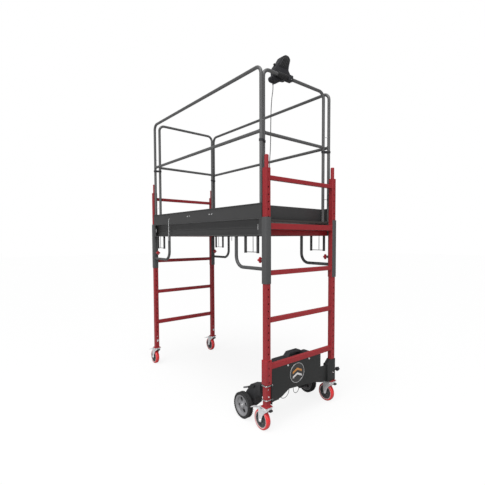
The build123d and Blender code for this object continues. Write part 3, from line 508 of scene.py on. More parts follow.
class Bench:
    """Blender's modelling operators, used on one new piece at a time."""

    @staticmethod
    def alone(obj: Piece) -> Piece:
        """Deselect everything else and make this object the active one."""
        bpy.ops.object.select_all(action="DESELECT")
        obj.select_set(True)
        bpy.context.view_layer.objects.active = obj
        return obj

    @classmethod
    @contextmanager
    def edit(cls, obj: Piece) -> Iterator[None]:
        """Edit mode on one object, with all of it selected."""
        cls.alone(obj)
        bpy.ops.object.mode_set(mode="EDIT")
        bpy.ops.mesh.select_all(action="SELECT")
        yield
        bpy.ops.object.mode_set(mode="OBJECT")

    @classmethod
    def drawn(cls, name: str, points: Sequence[Vector], filled: bool) -> Piece:
        """Closed outline through these points, as a face or as bare edges."""
        count = len(points)
        loop = [(k, (k + 1) % count) for k in range(count)]
        mesh = bpy.data.meshes.new(name)
        edges, faces = ([], [tuple(range(count))]) if filled else (loop, [])
        mesh.from_pydata([tuple(p) for p in points], edges, faces)
        return cls.alone(added(name, mesh))

    @classmethod
    def soften(cls, obj: Piece, width: float, steps: int = 2, angle: float = EDGE_TURN) -> Piece:
        """Round the edges that turn by more than an angle in degrees."""
        cls.alone(obj)
        edge = obj.modifiers.new("edge", "BEVEL")
        edge.width = width
        edge.segments = steps
        edge.limit_method = "ANGLE"
        edge.angle_limit = math.radians(angle)
        bpy.ops.object.modifier_apply(modifier=edge.name)
        return obj

    @classmethod
    def slab(
        cls, name: str, outline: Sequence[Point], way: Way, start: float, thick: float, soft: float = 0.0
    ) -> Piece:
        """Plate cut to an outline.

        Args:
            name: the piece's name.
            outline: coordinates across the way, in X, Y, Z order.
            way: the direction of the plate's thickness.
            start: where its first face lies along the way.
            thick: thickness, negative to go back along the way.
            soft: radius of its edges.

        Returns:
            The plate.
        """
        obj = cls.drawn(name, [way.place(start, a, b) for a, b in outline], True)
        with cls.edit(obj):
            bpy.ops.mesh.extrude_region_move(TRANSFORM_OT_translate={"value": way.vector(thick)})
            bpy.ops.mesh.select_all(action="SELECT")
            bpy.ops.mesh.normals_make_consistent(inside=False)
        return cls.soften(obj, soft) if soft else obj

    @classmethod
    def lathe(cls, name: str, profile: Sequence[Point], centre: Vector, way: Way, steps: int = 48) -> Piece:
        """Closed profile of (radius, distance along) turned about an axis through the centre.

        Args:
            name: the piece's name.
            profile: the closed outline that is turned.
            centre: a point on the axis, from which distances are measured.
            way: the axis.
            steps: faces round the turn.

        Returns:
            The turned piece.
        """
        across = Way.X if way is Way.Z else Way.Z
        points = [centre + across.vector(r) + way.vector(along) for r, along in profile]
        obj = cls.drawn(name, points, False)
        with cls.edit(obj):
            bpy.ops.mesh.spin(steps=steps, angle=FULL_TURN, center=centre, axis=way.vector())
            bpy.ops.mesh.select_all(action="SELECT")
            bpy.ops.mesh.remove_doubles(threshold=1e-5)
            bpy.ops.mesh.normals_make_consistent(inside=False)
        return obj

    @classmethod
    def settle(cls, obj: Piece) -> Piece:
        """Put the object at the origin, unturned, with its place in its mesh."""
        cls.alone(obj)
        bpy.ops.object.transform_apply(location=True, rotation=True, scale=True)
        return obj

    @classmethod
    def rod(
        cls, name: str, start: Vector, end: Vector, r: float, sides: int = 24, soft: float = 0.0
    ) -> Piece:
        """Bar between two points, with that many sides and rounded ends."""
        axis = end - start
        turn = axis.to_track_quat("Z", "Y").to_euler()
        bpy.ops.object.select_all(action="DESELECT")
        bpy.ops.mesh.primitive_cylinder_add(
            vertices=sides, radius=r, depth=axis.length, location=(start + end) / 2, rotation=turn
        )
        obj = cls.settle(bpy.context.object)
        obj.name = name
        return cls.soften(obj, soft) if soft else obj

    @classmethod
    def block(
        cls, name: str, low: Sequence[float], high: Sequence[float], soft: float, steps: int = 2
    ) -> Piece:
        """Box between two corners, with rounded edges."""
        low, high = Vector(low), Vector(high)
        bpy.ops.object.select_all(action="DESELECT")
        bpy.ops.mesh.primitive_cube_add(size=1, location=(low + high) / 2)
        obj = bpy.context.object
        obj.scale = high - low
        obj.name = name
        return cls.soften(cls.settle(obj), soft, steps)

    @classmethod
    def line(cls, name: str, points: Sequence[Vector], smooth: bool, closed: bool = False) -> Piece:
        """Curve through straight runs, or a smooth spline that the points control."""
        curve = bpy.data.curves.new(name, "CURVE")
        curve.dimensions = "3D"
        spline = curve.splines.new("NURBS" if smooth else "POLY")
        spline.points.add(len(points) - 1)
        for knot, point in zip(spline.points, points):
            knot.co = (*point, 1.0)
        if smooth:
            spline.order_u = 3
            spline.use_endpoint_u = True
        spline.use_cyclic_u = closed
        return added(name, curve)

    @classmethod
    def pipe(
        cls, name: str, points: Sequence[Vector], r: float, smooth: bool = False, closed: bool = False
    ) -> Piece:
        """Round wire or bead along a line, as a closed mesh."""
        obj = cls.line(name, points, smooth, closed)
        obj.data.bevel_depth = r
        obj.data.bevel_resolution = 3
        obj.data.use_fill_caps = not closed
        cls.alone(obj)
        bpy.ops.object.convert(target="MESH")
        return bpy.context.object

    @classmethod
    def copy(cls, obj: Piece, name: str, change: Matrix) -> Piece:
        """Copy with its own mesh, moved, turned or mirrored by a matrix."""
        made = obj.copy()
        made.data = obj.data.copy()
        made.name = name
        bpy.context.scene.collection.objects.link(made)
        made.data.transform(change)
        if change.determinant() < 0:
            made.data.flip_normals()
        return made

    @staticmethod
    def discard(patterns: Sequence[Piece]) -> None:
        """Remove pieces that have been copied to their places."""
        for pattern in patterns:
            bpy.data.objects.remove(pattern)

    @classmethod
    def weld(cls, way: Way, along: float, middle_of: Point, reach: Point, r: float) -> Piece:
        """Bead round a square tube.

        Args:
            way: the tube's direction.
            along: where the bead lies along it.
            middle_of: the tube's centre, across the way.
            reach: half the tube's width on each of those axes.
            r: radius of the bead.

        Returns:
            The bead.
        """
        a, b = middle_of
        ring = rounded((a - reach[0], b - reach[1]), (a + reach[0], b + reach[1]), 0.004, 4)
        return cls.pipe("bead", [way.place(along, *p) for p in ring], r, closed=True)

    @classmethod
    def joined(cls, name: str, pieces: Sequence[Piece]) -> Piece:
        """Several meshes as one object."""
        cls.alone(pieces[0])
        for piece in pieces:
            piece.select_set(True)
        bpy.ops.object.join()
        pieces[0].name = name
        return pieces[0]

    @classmethod
    def cut(cls, obj: Piece, tool: Piece) -> Piece:
        """Cut one solid out of another."""
        cls.alone(obj)
        cutter = obj.modifiers.new("cut", "BOOLEAN")
        cutter.object = tool
        cutter.solver = "EXACT"
        bpy.ops.object.modifier_apply(modifier=cutter.name)
        bpy.data.objects.remove(tool)
        return obj

    @classmethod
    def spaced(cls, piece: Piece, count: int, centre: Vector, way: Way, first: float = 0.0) -> Piece:
        """Copies of a piece evenly round an axis, joined with it."""
        there, back = Matrix.Translation(centre), Matrix.Translation(-centre)
        pieces = []
        for k in range(count):
            turn = Matrix.Rotation(first + FULL_TURN * k / count, 4, way.name)
            pieces.append(cls.copy(piece, f"{piece.name}_{k}", there @ turn @ back))
        name = piece.name
        bpy.data.objects.remove(piece)
        return cls.joined(name, pieces)

    @classmethod
    def eased(cls, node: str, width: float) -> Piece:
        """Copy of a CAD node with its faces merged and its edges rounded."""
        made = cls.copy(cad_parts[node], f"{node}_eased", Matrix.Identity(4))
        made.parent = None
        for key in list(made.keys()):
            del made[key]
        with cls.edit(made):
            bpy.ops.mesh.remove_doubles(threshold=1e-6)
            bpy.ops.mesh.dissolve_limited(angle_limit=math.radians(1.0))
        return cls.soften(made, width)


def box(node: str) -> tuple[Vector, Vector]:
    """Lowest and highest corner of a CAD node."""
    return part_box(node)


def middle(node: str) -> Vector:
    """Centre of a CAD node's box."""
    low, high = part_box(node)
    return (low + high) / 2


def finish(obj: Piece, paint: Finish, body: str, slot: str, *replaced: str) -> Piece:
    """Dress a new piece and hang it on its body.

    Args:
        obj: the piece, in place.
        paint: its finish.
        body: the CAD body that it moves with.
        slot: the record's material slot that it stands for; not used.
        *replaced: CAD nodes that it is shown instead of.

    Returns:
        The piece.
    """
    Bench.settle(obj)
    bpy.ops.object.shade_smooth_by_angle(angle=math.radians(EDGE_TURN))
    obj.data.materials.clear()
    obj.data.materials.append(paint.material())
    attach(obj, body)
    if replaced:
        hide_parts(*replaced)
    log.info("%s: %d faces on %s", obj.name, len(obj.data.polygons), body)
    return obj


def ease(paint: Finish, body: str, slot: str, **widths: float) -> None:
    """Show CAD nodes with rounded edges, each named with its edges' width."""
    for node, width in widths.items():
        finish(Bench.eased(node, width), paint, body, slot, node)


def coat(paint: Finish, *nodes: str) -> None:
    """Give CAD nodes that stay as they are a finish."""
    for node in nodes:
        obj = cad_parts[node]
        obj.data.materials.clear()
        obj.data.materials.append(paint.material())
        log.info("%s keeps its shape", node)


post = middle("post_drive_left")
centre = (post + middle("post_far_right")) / 2
HALF_LENGTH = post.x - centre.x
HALF_WIDTH = centre.y - post.y


def at(x: float, y: float, z: float) -> Vector:
    """Point from its distances from the middle of the four posts, and its height."""
    return Vector((centre.x + x, centre.y + y, z))


# ---- camera and cord ----------------------------------------------------------------------------
@dataclass
class Set:
    """Camera, floor and lights."""

    eye: Vector = Vector((2.8873, -2.0074, 1.3769))
    right: Vector = Vector((0.6634, 0.7483, 0.0))
    up: Vector = Vector((-0.0344, 0.0305, 0.9990))
    back: Vector = Vector((0.7475, -0.6627, 0.0460))
    lens: float = 26.60
    sensor: float = 36.0
    shift: Point = (-0.0641, 0.0261)
    floor_size: float = 60.0
    room: float = 0.25
    overhead: float = 3.1
    overhead_spread: float = 55.0
    overhead_from: Vector = Vector((0.30, -0.38, 1.0))
    aim_z: float = 1.2

    def camera(self) -> None:
        """Stand the camera at eye height by the drive end's left post."""
        data = bpy.data.cameras.new("camera")
        data.lens = self.lens
        data.sensor_width = self.sensor
        data.shift_x, data.shift_y = self.shift
        camera = added("camera", data)
        turn = Matrix((self.right, self.up, self.back)).transposed().to_4x4()
        camera.matrix_world = Matrix.Translation(self.eye) @ turn
        bpy.context.scene.camera = camera

    def lamp(self, name: str, place: Vector, size: float, power: float) -> None:
        """Hang one square soft box, pointed at the scaffold's waist."""
        data = bpy.data.lights.new(name, "AREA")
        data.size = size
        data.energy = power
        away = place - at(0.0, 0.0, self.aim_z)
        turn = away.to_track_quat("Z", "Y").to_matrix().to_4x4()
        added(name, data).matrix_world = Matrix.Translation(place) @ turn

    def sun(self) -> None:
        """Light everything softly from above, like a large ceiling of lamps."""
        data = bpy.data.lights.new("overhead", "SUN")
        data.energy = self.overhead
        data.angle = math.radians(self.overhead_spread)
        turn = self.overhead_from.to_track_quat("Z", "Y")
        added("overhead", data).matrix_world = turn.to_matrix().to_4x4()

    def walls(self) -> None:
        """Surround the set with walls that look white and give off a little light."""
        world = bpy.data.worlds.new("studio")
        world.use_nodes = True
        bpy.context.scene.world = world
        nodes, links = world.node_tree.nodes, world.node_tree.links
        backdrop = nodes["Background"]
        backdrop.inputs["Color"].default_value = (1, 1, 1, 1)
        seen = nodes.new("ShaderNodeLightPath")
        level = nodes.new("ShaderNodeMapRange")
        level.inputs["To Min"].default_value = self.room
        level.inputs["To Max"].default_value = 1.0
        links.new(seen.outputs["Is Camera Ray"], level.inputs["Value"])
        links.new(level.outputs[0], backdrop.inputs["Strength"])

    def studio(self) -> None:
        """Lay the floor, raise the walls and hang the lamps."""
        bpy.ops.object.select_all(action="DESELECT")
        bpy.ops.mesh.primitive_plane_add(size=self.floor_size)
        floor = bpy.context.object
        floor.name = "floor"
        floor.data.materials.append(Paint.PAPER.material())
        self.walls()
        self.sun()
        self.lamp("left", at(1.2, -5.2, 2.2), 2.6, 60.0)
        self.lamp("front", at(5.4, -0.6, 2.4), 2.2, 30.0)
        bpy.context.scene.view_settings.view_transform = "Standard"


@dataclass
class ControlCord:
    """Cord from the controller's gland through the end rail's window into the open post below."""

    diameter: float = 0.006
    steps: int = 12

    def route(self) -> list[Vector]:
        """Points of the cord's line, from the gland down into the post."""
        stem, foot = 0.01695, 1.866
        return [
            at(*GLAND, 2.508),
            at(*GLAND, 2.470),
            at(0.829, -0.214, 2.424),
            at(0.855, -0.242, 2.370),
            at(0.877, -0.266, 2.302),
            at(0.891, -0.281, 2.224),
            at(0.897, -0.288, 2.138),
            at(0.902, -0.293, 2.054),
            at(0.917, -0.310, 1.976),
            at(HALF_LENGTH + stem - 0.0023, stem - 0.0017 - HALF_WIDTH, foot + 0.042),
            at(HALF_LENGTH + stem - 0.0017, stem - 0.0019 - HALF_WIDTH, foot - 0.014),
            at(HALF_LENGTH + stem - 0.0021, stem - 0.0017 - HALF_WIDTH, foot - 0.066),
        ]

    def build(self) -> None:
        """Lay the cord along its spline."""
        points = self.route()
        line = Bench.line("cord_line", points, True)
        line.data.resolution_u = self.steps
        bpy.context.view_layer.update()
        mesh = bpy.data.meshes.new_from_object(line)
        tube = Bench.pipe("control_cord", points, self.diameter / 2, smooth=True)
        bpy.data.objects.remove(line)
        Bench.settle(tube)
        bpy.ops.object.shade_smooth()
        tube.data.materials.clear()
        tube.data.materials.append(Paint.SHEATH.material())
        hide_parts("control_cable")
        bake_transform(tube)


# ---- casters ------------------------------------------------------------------------------------
@dataclass
class Caster:
    """Swivel caster with its wheel, fork and brake pedal, made at one corner and copied to the others."""

    tread_half: float = 0.018
    bond_r: float = 0.0595
    hub_half: float = 0.021
    axle_r: float = 0.006
    leg_inner: float = 0.022
    leg_thick: float = 0.003
    crown: Point = (0.165, 0.172)
    boss_r: float = 0.0145
    pedal_pin: Point = (-0.066, 0.160)
    pedal_tip: Point = (-0.166, 0.126)
    pedal_half: float = 0.017
    bumper: Point = (0.034, 0.054)
    spokes: int = 6

    def __post_init__(self) -> None:
        """Find the swivel axis and the wheel's axis from the frame."""
        self.swivel = Vector((post.x, post.y, 0.0))
        self.hub = middle("caster_wheel_drive_left")
        self.wheel_r = box("caster_wheel_drive_left")[1].z / 2

    def tread(self) -> Piece:
        """Turn the crowned tread."""
        r, half = self.wheel_r, self.tread_half
        side = [(self.bond_r, half), (r - 0.010, half), (r - 0.004, half - 0.0018)]
        side += [(r - 0.001, half - 0.006), (r, 0.005)]
        return Bench.lathe("caster_tread", mirrored(side), self.hub, Way.Y, 72)

    def lip(self) -> Piece:
        """Turn the pale bond rings between tread and core."""
        r, w = self.bond_r, self.tread_half
        ring = [(r - 0.004, w - 0.002), (r - 0.0005, w + 0.0011), (r + 0.0028, w + 0.0008)]
        ring += [(r + 0.0034, w - 0.001)]
        near = Bench.lathe("caster_bond_ring", ring, self.hub, Way.Y, 64)
        far = Bench.lathe("ring_far", [(r, -along) for r, along in ring], self.hub, Way.Y, 64)
        return Bench.joined("caster_bond_ring", [near, far])

    def core(self) -> Piece:
        """Turn the dished core and set its spokes."""
        w = self.hub_half
        side = [(self.axle_r + 0.0005, w), (0.0145, w), (0.0165, w - 0.002), (0.0175, 0.006), (0.047, 0.0045)]
        side += [(0.0505, 0.0155), (self.bond_r - 0.001, 0.0168)]
        rim = Bench.lathe("caster_core", mirrored(side), self.hub, Way.Y, 64)
        low = self.hub + Vector((0.014, -0.0135, -0.0022))
        spoke = Bench.block("spoke", low, self.hub + Vector((0.0495, 0.0135, 0.0022)), 0.001)
        return Bench.joined("caster_core", [rim, Bench.spaced(spoke, self.spokes, self.hub, Way.Y)])

    def leg(self) -> list[Point]:
        """Outline of a fork leg, from the crown down round the axle's boss."""
        axle = (self.hub.x, self.hub.z)
        x = self.swivel.x
        low, high = self.crown
        down = sweep((x - 0.064, high - 0.014), (x - 0.068, high - 0.05), (axle[0] - self.boss_r, axle[1]))
        up = sweep((axle[0] + self.boss_r, axle[1]), (x - 0.022, low - 0.032), (x + 0.031, low - 0.006))
        outline = [(x + 0.031, high), (x - 0.064, high)] + down
        return outline + arc(axle, self.boss_r, 180, 360)[1:-1] + up

    def fork(self) -> Piece:
        """Press the crown and both legs, and fit the race cup and the axle bolt."""
        low, high = self.crown
        x, y = self.swivel.x, self.swivel.y
        outer = self.leg_inner + self.leg_thick
        plan = rounded((x - 0.060, y - outer), (x + 0.034, y + outer), 0.012)
        parts = [Bench.slab("crown", plan, Way.Z, low, high - low, 0.0015)]
        cup = [(0.0262, 0.0072), (0.0272, 0.0115), (0.0298, 0.0115), (0.0318, 0.0085), (0.0328, 0.0050)]
        cup += [(0.0328, 0.0005), (0.0262, 0.0005)]
        parts.append(Bench.lathe("cup", cup, Vector((x, y, low)), Way.Z, 48))
        for side in (-1, 1):
            start = y + side * self.leg_inner
            parts.append(Bench.slab("leg", self.leg(), Way.Y, start, side * self.leg_thick, 0.0008))
            parts.append(self.axle_end(side, y + side * outer))
        return Bench.joined("caster_fork", parts)

    def axle_end(self, side: int, y: float) -> Piece:
        """Washer, hexagon and bolt end on one side of the fork."""
        face = Vector((self.hub.x, y, self.hub.z))
        out = Vector((0, side, 0))
        washer = Bench.rod("washer", face, face + out * 0.0014, 0.0115, 32, 0.0004)
        nut = Bench.rod("nut", face + out * 0.0014, face + out * 0.0050, 0.0098, 6, 0.0006)
        end = Bench.rod("bolt", face - out * 0.004, face + out * 0.0060, self.axle_r - 0.001, 24, 0.0008)
        return Bench.joined("axle_end", [washer, nut, end])

    def pedal(self) -> Piece:
        """Press the brake pedal: eye, waist and ribbed foot."""
        pin = Vector((self.swivel.x + self.pedal_pin[0], self.swivel.y, self.pedal_pin[1]))
        tip = Vector((self.swivel.x + self.pedal_tip[0], self.swivel.y, self.pedal_tip[1]))
        along = (tip - pin).normalized()
        rise = Vector((along.z, 0, -along.x))
        reach = (tip - pin).length
        top = [(-0.006, 0.0035), (0.018, 0.0045), (0.036, 0.0010), (0.066, 0.0010)]
        top += [(0.080, 0.0042), (reach - 0.003, 0.0034)]
        sheet = 0.0036
        edge = top + [(reach, 0.0010)] + [(a, b - sheet) for a, b in reversed(top)]
        corners = [pin + along * a + rise * b for a, b in edge]
        outline = [(p.x, p.z) for p in corners]
        body = Bench.slab("pedal", outline, Way.Y, pin.y - self.pedal_half, 2 * self.pedal_half)
        for vertex in body.data.vertices:
            far = (vertex.co - pin).dot(along)
            waist = 0.34 * math.exp(-(((far - 0.050) / 0.017) ** 2))
            flare = 0.14 * max(0.0, (far - 0.078) / 0.03)
            vertex.co.y = pin.y + (vertex.co.y - pin.y) * (1 - waist + flare)
        parts = [Bench.soften(body, 0.0009)]
        for far in (0.084, 0.092, 0.100):
            middle_of = pin + along * far + rise * 0.0040
            half = Vector((0, self.pedal_half - 0.003, 0))
            parts.append(Bench.rod("rib", middle_of - half, middle_of + half, 0.0016, 12, 0.0006))
        for side in (-1, 1):
            ear = arc((pin.x, pin.z), 0.0075, -60, 200)
            ear += [(pin.x - 0.030, pin.z - 0.012), (pin.x - 0.026, pin.z - 0.016)]
            parts.append(Bench.slab("ear", ear, Way.Y, pin.y + side * 0.0175, side * 0.0025, 0.0006))
        half = Vector((0, self.leg_inner + self.leg_thick + 0.002, 0))
        parts.append(Bench.rod("pin", pin - half, pin + half, 0.003, 16, 0.0006))
        return Bench.joined("caster_pedal", parts)

    def stop(self) -> Piece:
        """Mould the black bumper at the front of the crown."""
        x, y = self.swivel.x, self.swivel.y
        plan = rounded((x + self.bumper[0], y - 0.014), (x + self.bumper[1], y + 0.014), 0.006)
        return Bench.slab("caster_bumper", plan, Way.Z, self.crown[1] - 0.012, 0.012, 0.002)

    def build(self) -> None:
        """Make one caster and copy it to the other corners."""
        rings = [(0.0068, 0.0195), (0.0120, 0.0195), (0.0120, 0.0214), (0.0068, 0.0214)]
        bearing = Bench.lathe("caster_bearing", rings, self.hub, Way.Y, 32)
        twin = Bench.lathe("twin", [(r, -w) for r, w in rings], self.hub, Way.Y, 32)
        bearing = Bench.joined("caster_bearing", [bearing, twin])
        made = [
            (self.tread(), Paint.TREAD, "caster_wheel", "caster_tread", "caster_wheel"),
            (self.lip(), Paint.LIP, "caster_wheel", "caster_tread", None),
            (self.core(), Paint.CORE, "caster_wheel", "caster_tread", None),
            (bearing, Paint.ZINC, "caster_wheel", "zinc", None),
            (self.fork(), Paint.ZINC, "caster_swivel", "zinc", "caster_fork"),
            (self.stop(), Paint.RUBBER, "caster_swivel", "black_plastic", None),
            (self.pedal(), Paint.ZINC, "caster_pedal", "pedal", "caster_pedal"),
        ]
        for name in CORNERS:
            move = Matrix.Translation(middle(f"post_{name}") - post)
            for obj, paint, body, slot, node in made:
                copy = Bench.copy(obj, f"{obj.name}_{name}", move)
                finish(copy, paint, f"{body}_{name}", slot, *([f"{node}_{name}"] if node else []))
        Bench.discard([obj for obj, *_ in made])
        coat(Paint.ZINC, "caster_plates", "caster_retainers")


# ---- end frames ---------------------------------------------------------------------------------
@dataclass
class EndFrames:
    """Red ladder frames with their weld beads."""

    bead: float = 0.0026
    foot_bead: float = 0.00312
    rungs: tuple[Point, ...] = (
        (0.467, 0.038),
        (0.801, 0.034),
        (1.136, 0.034),
        (1.464, 0.042),
        (1.801, 0.030),
    )
    rung_depth: float = 0.032

    def rung_beads(self, name: str, sx: int) -> None:
        """Run a bead round each rung where it meets its posts."""
        beads = []
        x = centre.x + sx * HALF_LENGTH
        for z, height in self.rungs:
            for sy in (-1, 1):
                inside_sleeve = z == self.rungs[0][0] and (sx, sy) == (1, -1)
                if inside_sleeve:
                    continue
                y = centre.y + sy * (HALF_WIDTH - TUBE / 2)
                beads.append(Bench.weld(Way.Y, y, (x, z), (self.rung_depth / 2, height / 2), self.bead))
        finish(Bench.joined(f"rung_welds_{name}", beads), Paint.RED, "frames", "red_frame")

    def post_beads(self) -> None:
        """Run a bead round each post's foot and round both ends of the second sleeve."""
        foot = box("post_drive_left")[0].z + 0.001
        sleeve = box("post_stiffener")
        rings = [(middle(f"post_{name}"), foot) for name in CORNERS] + [(post, end.z) for end in sleeve]
        half = (TUBE / 2, TUBE / 2)
        beads = [Bench.weld(Way.Z, z, (p.x, p.y), half, self.foot_bead) for p, z in rings]
        finish(Bench.joined("post_welds", beads), Paint.RED, "frames", "red_frame")

    def build(self) -> None:
        """Coat the frames and add their welds."""
        posts = [f"post_{name}" for name in CORNERS]
        coat(Paint.RED, *posts, "rungs_drive_end", "rungs_far_end", "coupling_pins")
        ease(Paint.RED, "frames", "red_frame", foot_flanges=0.0012, post_stiffener=0.0012)
        self.rung_beads("drive_end", 1)
        self.rung_beads("far_end", -1)
        self.post_beads()


# ---- drive unit ---------------------------------------------------------------------------------
@dataclass
class DriveUnit:
    """Clamp-on wheel drive: plate and badge, gear cases, wheels, levers, battery and leads."""

    wheel_half: float = 0.0225
    rim_r: float = 0.078
    shaft_r: float = 0.010
    case_outer: float = 0.312
    case_inner: float = 0.245
    motor_r: float = 0.038
    plate_front: float = 0.944
    lugs: int = 36
    windows: int = 4
    fins: int = 9
    vents: int = 7
    window_ring: float = 0.043
    window_r: float = 0.0165
    motor_place: Point = (0.047, 0.180)
    lever_pivot: Point = (0.077, 0.258)
    lever_tip: Point = (-0.041, 0.213)
    lever_thick: float = 0.009
    grip_length: float = 0.046
    badge_place: Point = (-0.062, 0.360)
    badge_r: float = 0.0712
    bolt_heights: Point = (0.236, 0.3385)
    bolt_r: float = 0.004
    plate_bolts: tuple[Point, ...] = ((-0.157, 0.438), (0.072, 0.438))
    box_depth: float = 0.122
    lid_z: float = 0.424
    lead_r: float = 0.0021
    case_screws: tuple[Point, ...] = (
        (-0.012, 0.092),
        (0.012, 0.082),
        (0.082, 0.132),
        (0.088, 0.176),
        (-0.018, 0.176),
        (0.036, 0.246),
    )

    def __post_init__(self) -> None:
        """Find the wheel's axis from the frame."""
        low, high = box("drive_wheel_left")
        self.wheel_r = (high.z - low.z) / 2
        self.axle = Vector(((low.x + high.x) / 2, centre.y - HALF_WIDTH, self.wheel_r))

    def tyre(self) -> Piece:
        """Turn the grooved tyre and set its lugs."""
        r, half = self.wheel_r, self.wheel_half
        side = [(self.rim_r, half - 0.003), (self.rim_r + 0.005, half), (r - 0.008, half - 0.0004)]
        side += [(r - 0.003, half - 0.005), (r - 0.003, 0.0125), (r - 0.0045, 0.0115), (r - 0.0045, 0.0098)]
        side += [(r - 0.0015, 0.0088), (r - 0.0015, 0.0016), (r - 0.0035, 0.0008)]
        parts = [Bench.lathe("tyre", mirrored(side), self.axle, Way.Y, 72)]
        for inner, outer, first in ((-0.0195, -0.0085, 0.0), (0.0085, 0.0195, FULL_TURN / self.lugs / 2)):
            low = self.axle + Vector((-0.0026, inner, r - 0.006))
            lug = Bench.block("lug", low, self.axle + Vector((0.0026, outer, r)), 0.0008, 1)
            parts.append(Bench.spaced(lug, self.lugs, self.axle, Way.Y, first))
        return Bench.joined("drive_tyre", parts)

    def hub(self) -> Piece:
        """Turn the hub, cut its windows and round their edges."""
        side = [(0.0040, 0.0180), (0.0200, 0.0180), (0.0230, 0.0145), (0.0260, 0.0065), (0.0600, 0.0050)]
        side += [(0.0650, 0.0160), (0.0700, 0.0188), (self.rim_r + 0.0005, 0.0200)]
        hub = Bench.lathe("drive_hub", mirrored(side), self.axle, Way.Y, 64)
        for k in range(self.windows):
            turn = FULL_TURN * (k / self.windows + 0.06)
            place = self.axle + self.window_ring * Vector((math.cos(turn), 0, math.sin(turn)))
            reach = Vector((0, 0.03, 0))
            Bench.cut(hub, Bench.rod("window", place - reach, place + reach, self.window_r, 28))
        return Bench.soften(hub, 0.0011)

    def cap(self) -> Piece:
        """Turn the axle cap and the shaft that runs into the gear case."""
        dome = [(0.0, -0.0222), (0.0075, -0.0216), (0.0118, -0.0200), (0.0130, -0.0175), (0.0, -0.0175)]
        cap = Bench.lathe("drive_axle", dome, self.axle, Way.Y, 32)
        inner = self.axle + Vector((0, HALF_WIDTH - self.case_outer + 0.024, 0))
        shaft = Bench.rod("shaft", self.axle, inner, self.shaft_r, 24, 0.001)
        return Bench.joined("drive_axle", [cap, shaft])

    def wheels(self) -> None:
        """Make the left wheel and mirror it to the right."""
        liner = [(0.0240, 0.0020), (0.0640, 0.0020), (0.0640, 0.0044), (0.0240, 0.0044)]
        shield = Bench.lathe("drive_wheel_shield", liner, self.axle, Way.Y, 48)
        made = [(self.tyre(), Paint.TYRE), (self.hub(), Paint.HUB), (self.cap(), Paint.STEEL)]
        made.append((shield, Paint.RUBBER))
        there, back = Matrix.Translation((0, centre.y, 0)), Matrix.Translation((0, -centre.y, 0))
        flip = there @ Matrix.Scale(-1, 4, (0, 1, 0)) @ back
        for name, change in (("left", Matrix.Identity(4)), ("right", flip)):
            body = f"drive_wheel_{name}"
            for obj, paint in made:
                copy = Bench.copy(obj, f"{obj.name}_{name}", change)
                finish(copy, paint, body, "drive_tyre", *([body] if paint is Paint.TYRE else []))
        Bench.discard([obj for obj, _ in made])

    def gear_case(self, name: str, sy: int) -> None:
        """Round the gear case's edges, and add its cover screws, rib and finned motor."""
        node = f"gearbox_{name}"
        parts = [Bench.eased(node, 0.0022)]
        face = sy * self.case_outer
        x = self.axle.x - centre.x
        for dx, z in self.case_screws:
            start = at(x + dx, face - sy * 0.001, z)
            parts.append(Bench.rod("screw", start, at(x + dx, face + sy * 0.0035, z), 0.0052, 6, 0.0006))
        ring = [(0.020, 0.0), (0.030, 0.0), (0.029, 0.0028), (0.0215, 0.0028)]
        seat = at(x, face, self.wheel_r)
        parts.append(Bench.lathe("boss", [(r, sy * w) for r, w in ring], seat, Way.Y, 40))
        finish(Bench.joined(f"{node}_case", parts), Paint.CASE, "frames", "gear_case", node)
        fins = []
        motor = at(x + self.motor_place[0], sy * self.case_inner, self.motor_place[1])
        root, crest = self.motor_r - 0.0035, self.motor_r
        for k in range(self.fins):
            w = 0.010 + 0.0085 * k
            fins += [(root, w - 0.0028), (crest, w - 0.0022), (crest, w + 0.0022), (root, w + 0.0028)]
        profile = [(0.0, 0.0)] + fins + [(self.motor_r - 0.006, 0.093), (0.012, 0.0945), (0.0, 0.0945)]
        body = Bench.lathe(f"drive_motor_{name}", [(r, -sy * w) for r, w in profile], motor, Way.Y, 40)
        finish(body, Paint.PANEL, "frames", "gear_case")

    def lever(self, name: str) -> None:
        """Forge the clutch lever with its bent shank, and push a grip on its end."""
        node = f"clutch_lever_{name}"
        sy = SIDES[name]
        inner, thick = sy * (self.case_outer + 0.0003), sy * self.lever_thick
        pivot, tip = (at(self.axle.x - centre.x + x, 0, z) for x, z in (self.lever_pivot, self.lever_tip))
        run = (tip - pivot).normalized()
        side = Vector((-run.z, 0, run.x))
        neck = tip - run * self.grip_length
        angle = math.degrees(math.atan2(side.z, side.x))
        outline = arc((pivot.x, pivot.z), 0.0125, angle, angle - 180, 14)
        for wide in (-0.006, 0.006):
            outline.append((neck.x + side.x * wide, neck.z + side.z * wide))
        start = centre.y + inner
        shank = Bench.slab("shank", outline, Way.Y, start + thick * 0.2, thick * 0.6, 0.0012)
        hub = Vector((pivot.x, start, pivot.z))
        parts = [shank, Bench.rod("eye", hub, hub + Vector((0, thick, 0)), 0.010, 28, 0.0012)]
        parts.append(Bench.rod("pin", hub - Vector((0, 0.018 * sy, 0)), hub, 0.006, 20, 0.0008))
        finish(Bench.joined(f"{node}_shank", parts), Paint.BLACK, node, "lever", node)
        mid = centre.y + inner + thick / 2
        root = Vector((neck.x, mid, neck.z)) - run * 0.006
        end = Vector((tip.x, mid, tip.z)) + run * 0.004
        grip = Bench.rod(f"{node}_grip", root, end, 0.0068, 20, 0.0025)
        finish(grip, Paint.GRIP, node, "lever")

